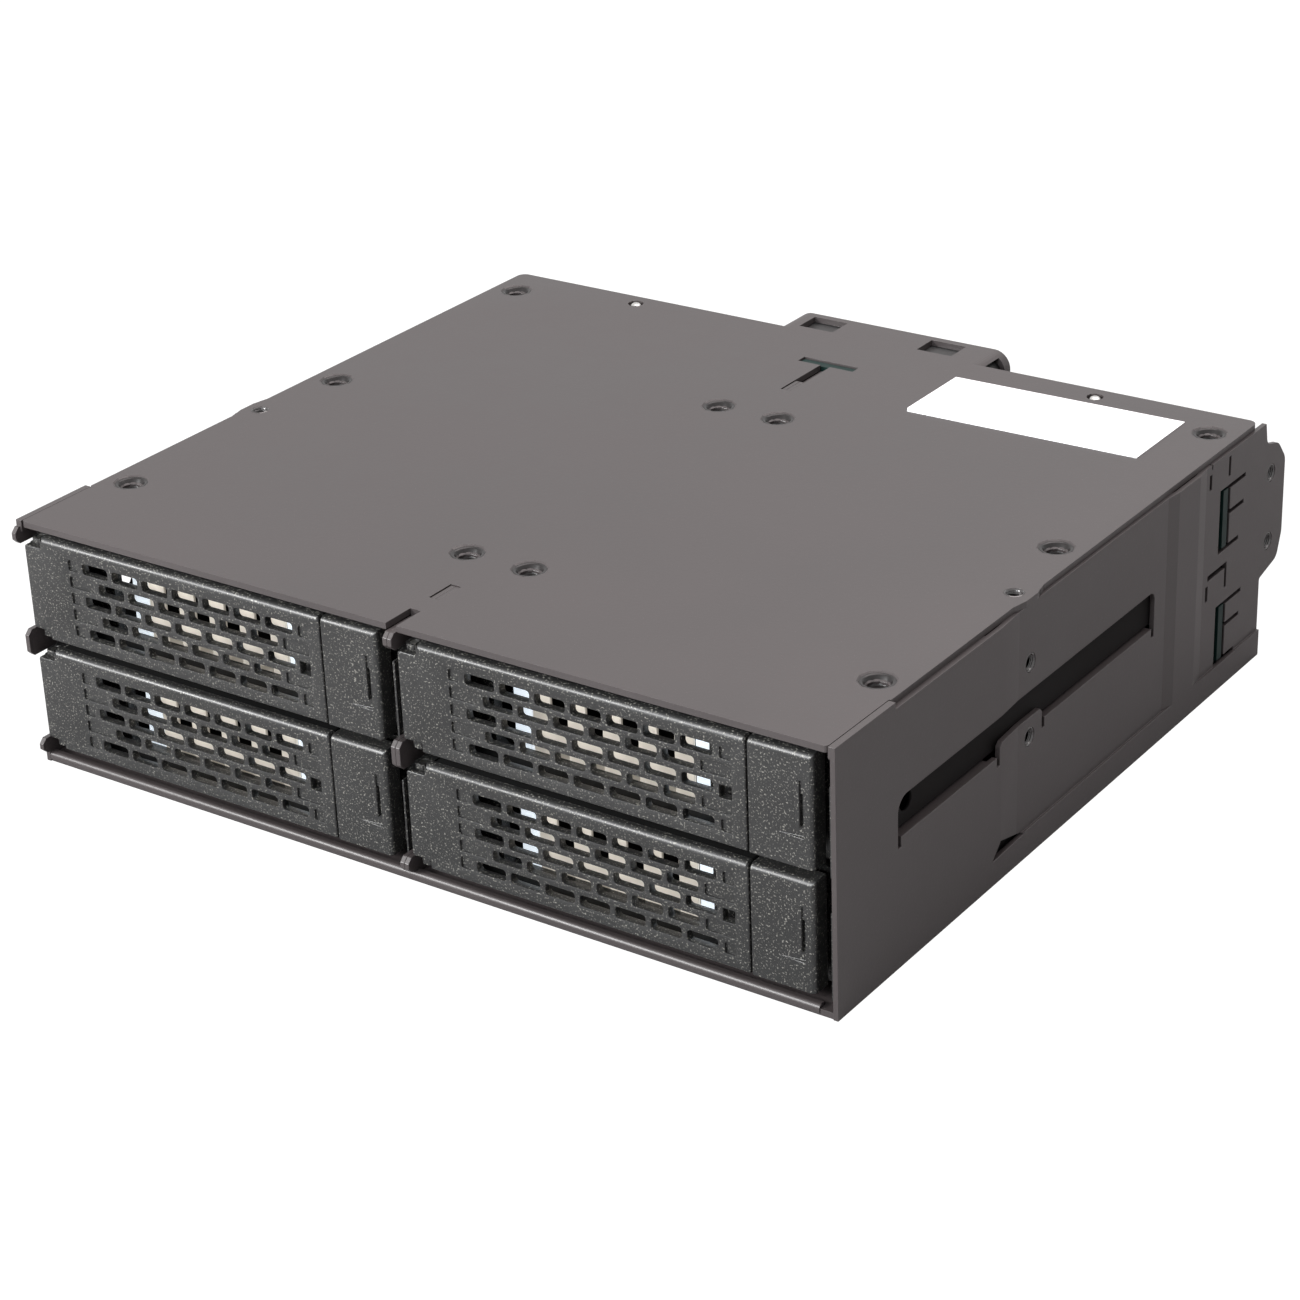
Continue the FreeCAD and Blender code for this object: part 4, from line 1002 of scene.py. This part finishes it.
def add_floor():
    mesh = bpy.data.meshes.new("floor")
    half = FLOOR_HALF
    mesh.from_pydata([(-half, -half, 0), (half, -half, 0), (half, half, 0), (-half, half, 0)],
                     [], [(0, 1, 2, 3)])
    mesh.materials.append(floor_material())
    ground = bpy.data.objects.new("floor", mesh)
    bpy.context.scene.collection.objects.link(ground)
    ground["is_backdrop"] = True


def add_camera():
    """A camera that looks along its turn and tilt, then rolls about its own axis."""
    view = bpy.data.cameras.new("Camera")
    view.sensor_width = CAMERA_SENSOR
    view.lens = CAMERA_LENS
    view.clip_start = CAMERA_NEAR
    camera = bpy.data.objects.new("Camera", view)
    ahead = Vector((-math.sin(CAMERA_TURN) * math.cos(CAMERA_TILT),
                    math.cos(CAMERA_TURN) * math.cos(CAMERA_TILT), -math.sin(CAMERA_TILT)))
    right = ahead.cross(Vector((0, 0, 1))).normalized()
    level = Matrix((right, right.cross(ahead), -ahead)).transposed()
    camera.matrix_world = (Matrix.Translation(CAMERA_PLACE) @ level.to_4x4()
                           @ Matrix.Rotation(CAMERA_ROLL, 4, "Z"))
    bpy.context.scene.collection.objects.link(camera)
    bpy.context.scene.camera = camera


# Operators

SHEETS = ("side_panel_right", "side_panel_left", "divider_sheet_right", "divider_sheet_left",
          "top_plate", "bottom_plate", "rear_panel")
PAN_EDGE = 0.1 * MM
SHIELD_EDGE = 0.1 * MM
GUIDE_EDGE = 0.25 * MM
PLAIN_NODES = {"blank_label": "label", "backplane_board": "board", "fan_": "black",
               "data_port": "socket", "power_port": "socket", "receptacle": "socket",
               "_lamp": "lamp", "_door_pin": "bright"}


class CAGE_OT_finishes(bpy.types.Operator):
    """Makes every finish of the cage"""
    bl_idname = "cage.finishes"
    bl_label = "Finishes"

    def execute(self, context):
        build_finishes()
        return {"FINISHED"}


class CAGE_OT_sheet_metal(bpy.types.Operator):
    """Rounds the cut edges of the cage's painted sheets and keeps their shallow bends crisp"""
    bl_idname = "cage.sheet_metal"
    bl_label = "Sheet metal"

    def execute(self, context):
        for node in SHEETS:
            softened(node, "steel", "cage", sizes().sheet_edge,
                     below=SHALLOW_BEND)
        return {"FINISHED"}


class CAGE_OT_doors(bpy.types.Operator):
    """Makes the grille doors with round-cornered cells"""
    bl_idname = "cage.doors"
    bl_label = "Doors"

    def execute(self, context):
        for bay in BAYS:
            node = "tray_%d_door" % bay
            body = "door_%d" % bay
            moulding, walls = door_meshes(node)
            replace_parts(new_piece(moulding.name, moulding, "door", body), node)
            # The walls behind the skin take the moulding darkened as painted shade
            new_piece(walls.name, walls, "painted_shade_moulding", body)
        return {"FINISHED"}


class CAGE_OT_tray_fronts(bpy.types.Operator):
    """Rounds the edges of the trays' parts and adds the latches' finger ribs"""
    bl_idname = "cage.tray_fronts"
    bl_label = "Tray fronts"

    def execute(self, context):
        for bay in BAYS:
            tray = "tray_%d" % bay
            latch = tray + "_latch"
            body = "latch_%d" % bay
            moulded = sizes().moulded_edge
            softened(tray + "_frame", "door", tray, moulded)
            softened(latch, "door", body, moulded)
            new_piece(latch + "_rib", latch_rib(latch), "door", body)
            softened(tray + "_pan", "inner", tray, PAN_EDGE, steps=1)
            softened(tray + "_shield", "shield", tray, SHIELD_EDGE)
            softened(tray + "_light_guides", "guide", tray, GUIDE_EDGE, steps=3)
        return {"FINISHED"}


class CAGE_OT_fasteners(bpy.types.Operator):
    """Makes the cross-recessed screws, the screw tips and the tapped rims"""
    bl_idname = "cage.fasteners"
    bl_label = "Fasteners"

    def execute(self, context):
        add_flat_screws()
        add_screw_tips()
        add_tapped_holes()
        add_fan_screws()
        return {"FINISHED"}


class CAGE_OT_rear_parts(bpy.types.Operator):
    """Makes the sockets' contacts and the rear flange of the fan's frame"""
    bl_idname = "cage.rear_parts"
    bl_label = "Rear parts"

    def execute(self, context):
        for kind, count in CONTACT_COUNTS.items():
            for port in sorted(name for name in NODES if name.startswith(kind)):
                add_contacts(port, count)
        add_fan_flange()
        return {"FINISHED"}


class CAGE_OT_plain_nodes(bpy.types.Operator):
    """Gives the solids that keep their shape their finishes"""
    bl_idname = "cage.plain_nodes"
    bl_label = "Plain solids"

    def execute(self, context):
        for part, finish in PLAIN_NODES.items():
            for mesh in [node.data for name, node in NODES.items() if part in name]:
                mesh.materials.clear()
                mesh.materials.append(FINISHES[finish])
        return {"FINISHED"}


class CAGE_OT_stage(bpy.types.Operator):
    """Sets up the floor, the soft lamps and the camera"""
    bl_idname = "cage.stage"
    bl_label = "Stage"

    def execute(self, context):
        context.scene.view_settings.view_transform = "Standard"
        add_floor()
        add_white_world()
        for lamp in LAMPS:
            add_lamp(*lamp)
        add_camera()
        return {"FINISHED"}


OPERATORS = (CAGE_OT_finishes, CAGE_OT_sheet_metal, CAGE_OT_doors, CAGE_OT_tray_fronts,
             CAGE_OT_fasteners, CAGE_OT_rear_parts, CAGE_OT_plain_nodes, CAGE_OT_stage)


class CAGE_PT_panel(bpy.types.Panel):
    """Lists the sizes, the colours and the steps that dress the cage"""
    bl_idname = "CAGE_PT_panel"
    bl_label = "Drive Cage"
    bl_space_type = "VIEW_3D"
    bl_region_type = "UI"
    bl_category = "Drive Cage"

    def draw(self, context):
        for group in (context.scene.cage_sizes, context.scene.cage_colours):
            for name in group.bl_rna.properties.keys():
                if name not in {"rna_type", "name"}:
                    self.layout.prop(group, name)
        for operator in OPERATORS:
            self.layout.operator(operator.bl_idname)


CLASSES = (CageSizes, CageColours) + OPERATORS + (CAGE_PT_panel,)


def register():
    for each in CLASSES:
        bpy.utils.register_class(each)
    bpy.types.Scene.cage_sizes = PointerProperty(type=CageSizes)
    bpy.types.Scene.cage_colours = PointerProperty(type=CageColours)


def unregister():
    del bpy.types.Scene.cage_sizes
    del bpy.types.Scene.cage_colours
    for each in reversed(CLASSES):
        bpy.utils.unregister_class(each)


def main():
    register()
    for operator in OPERATORS:
        group, name = operator.bl_idname.split(".")
        getattr(getattr(bpy.ops, group), name)()


if __name__ == "__main__":
    main()
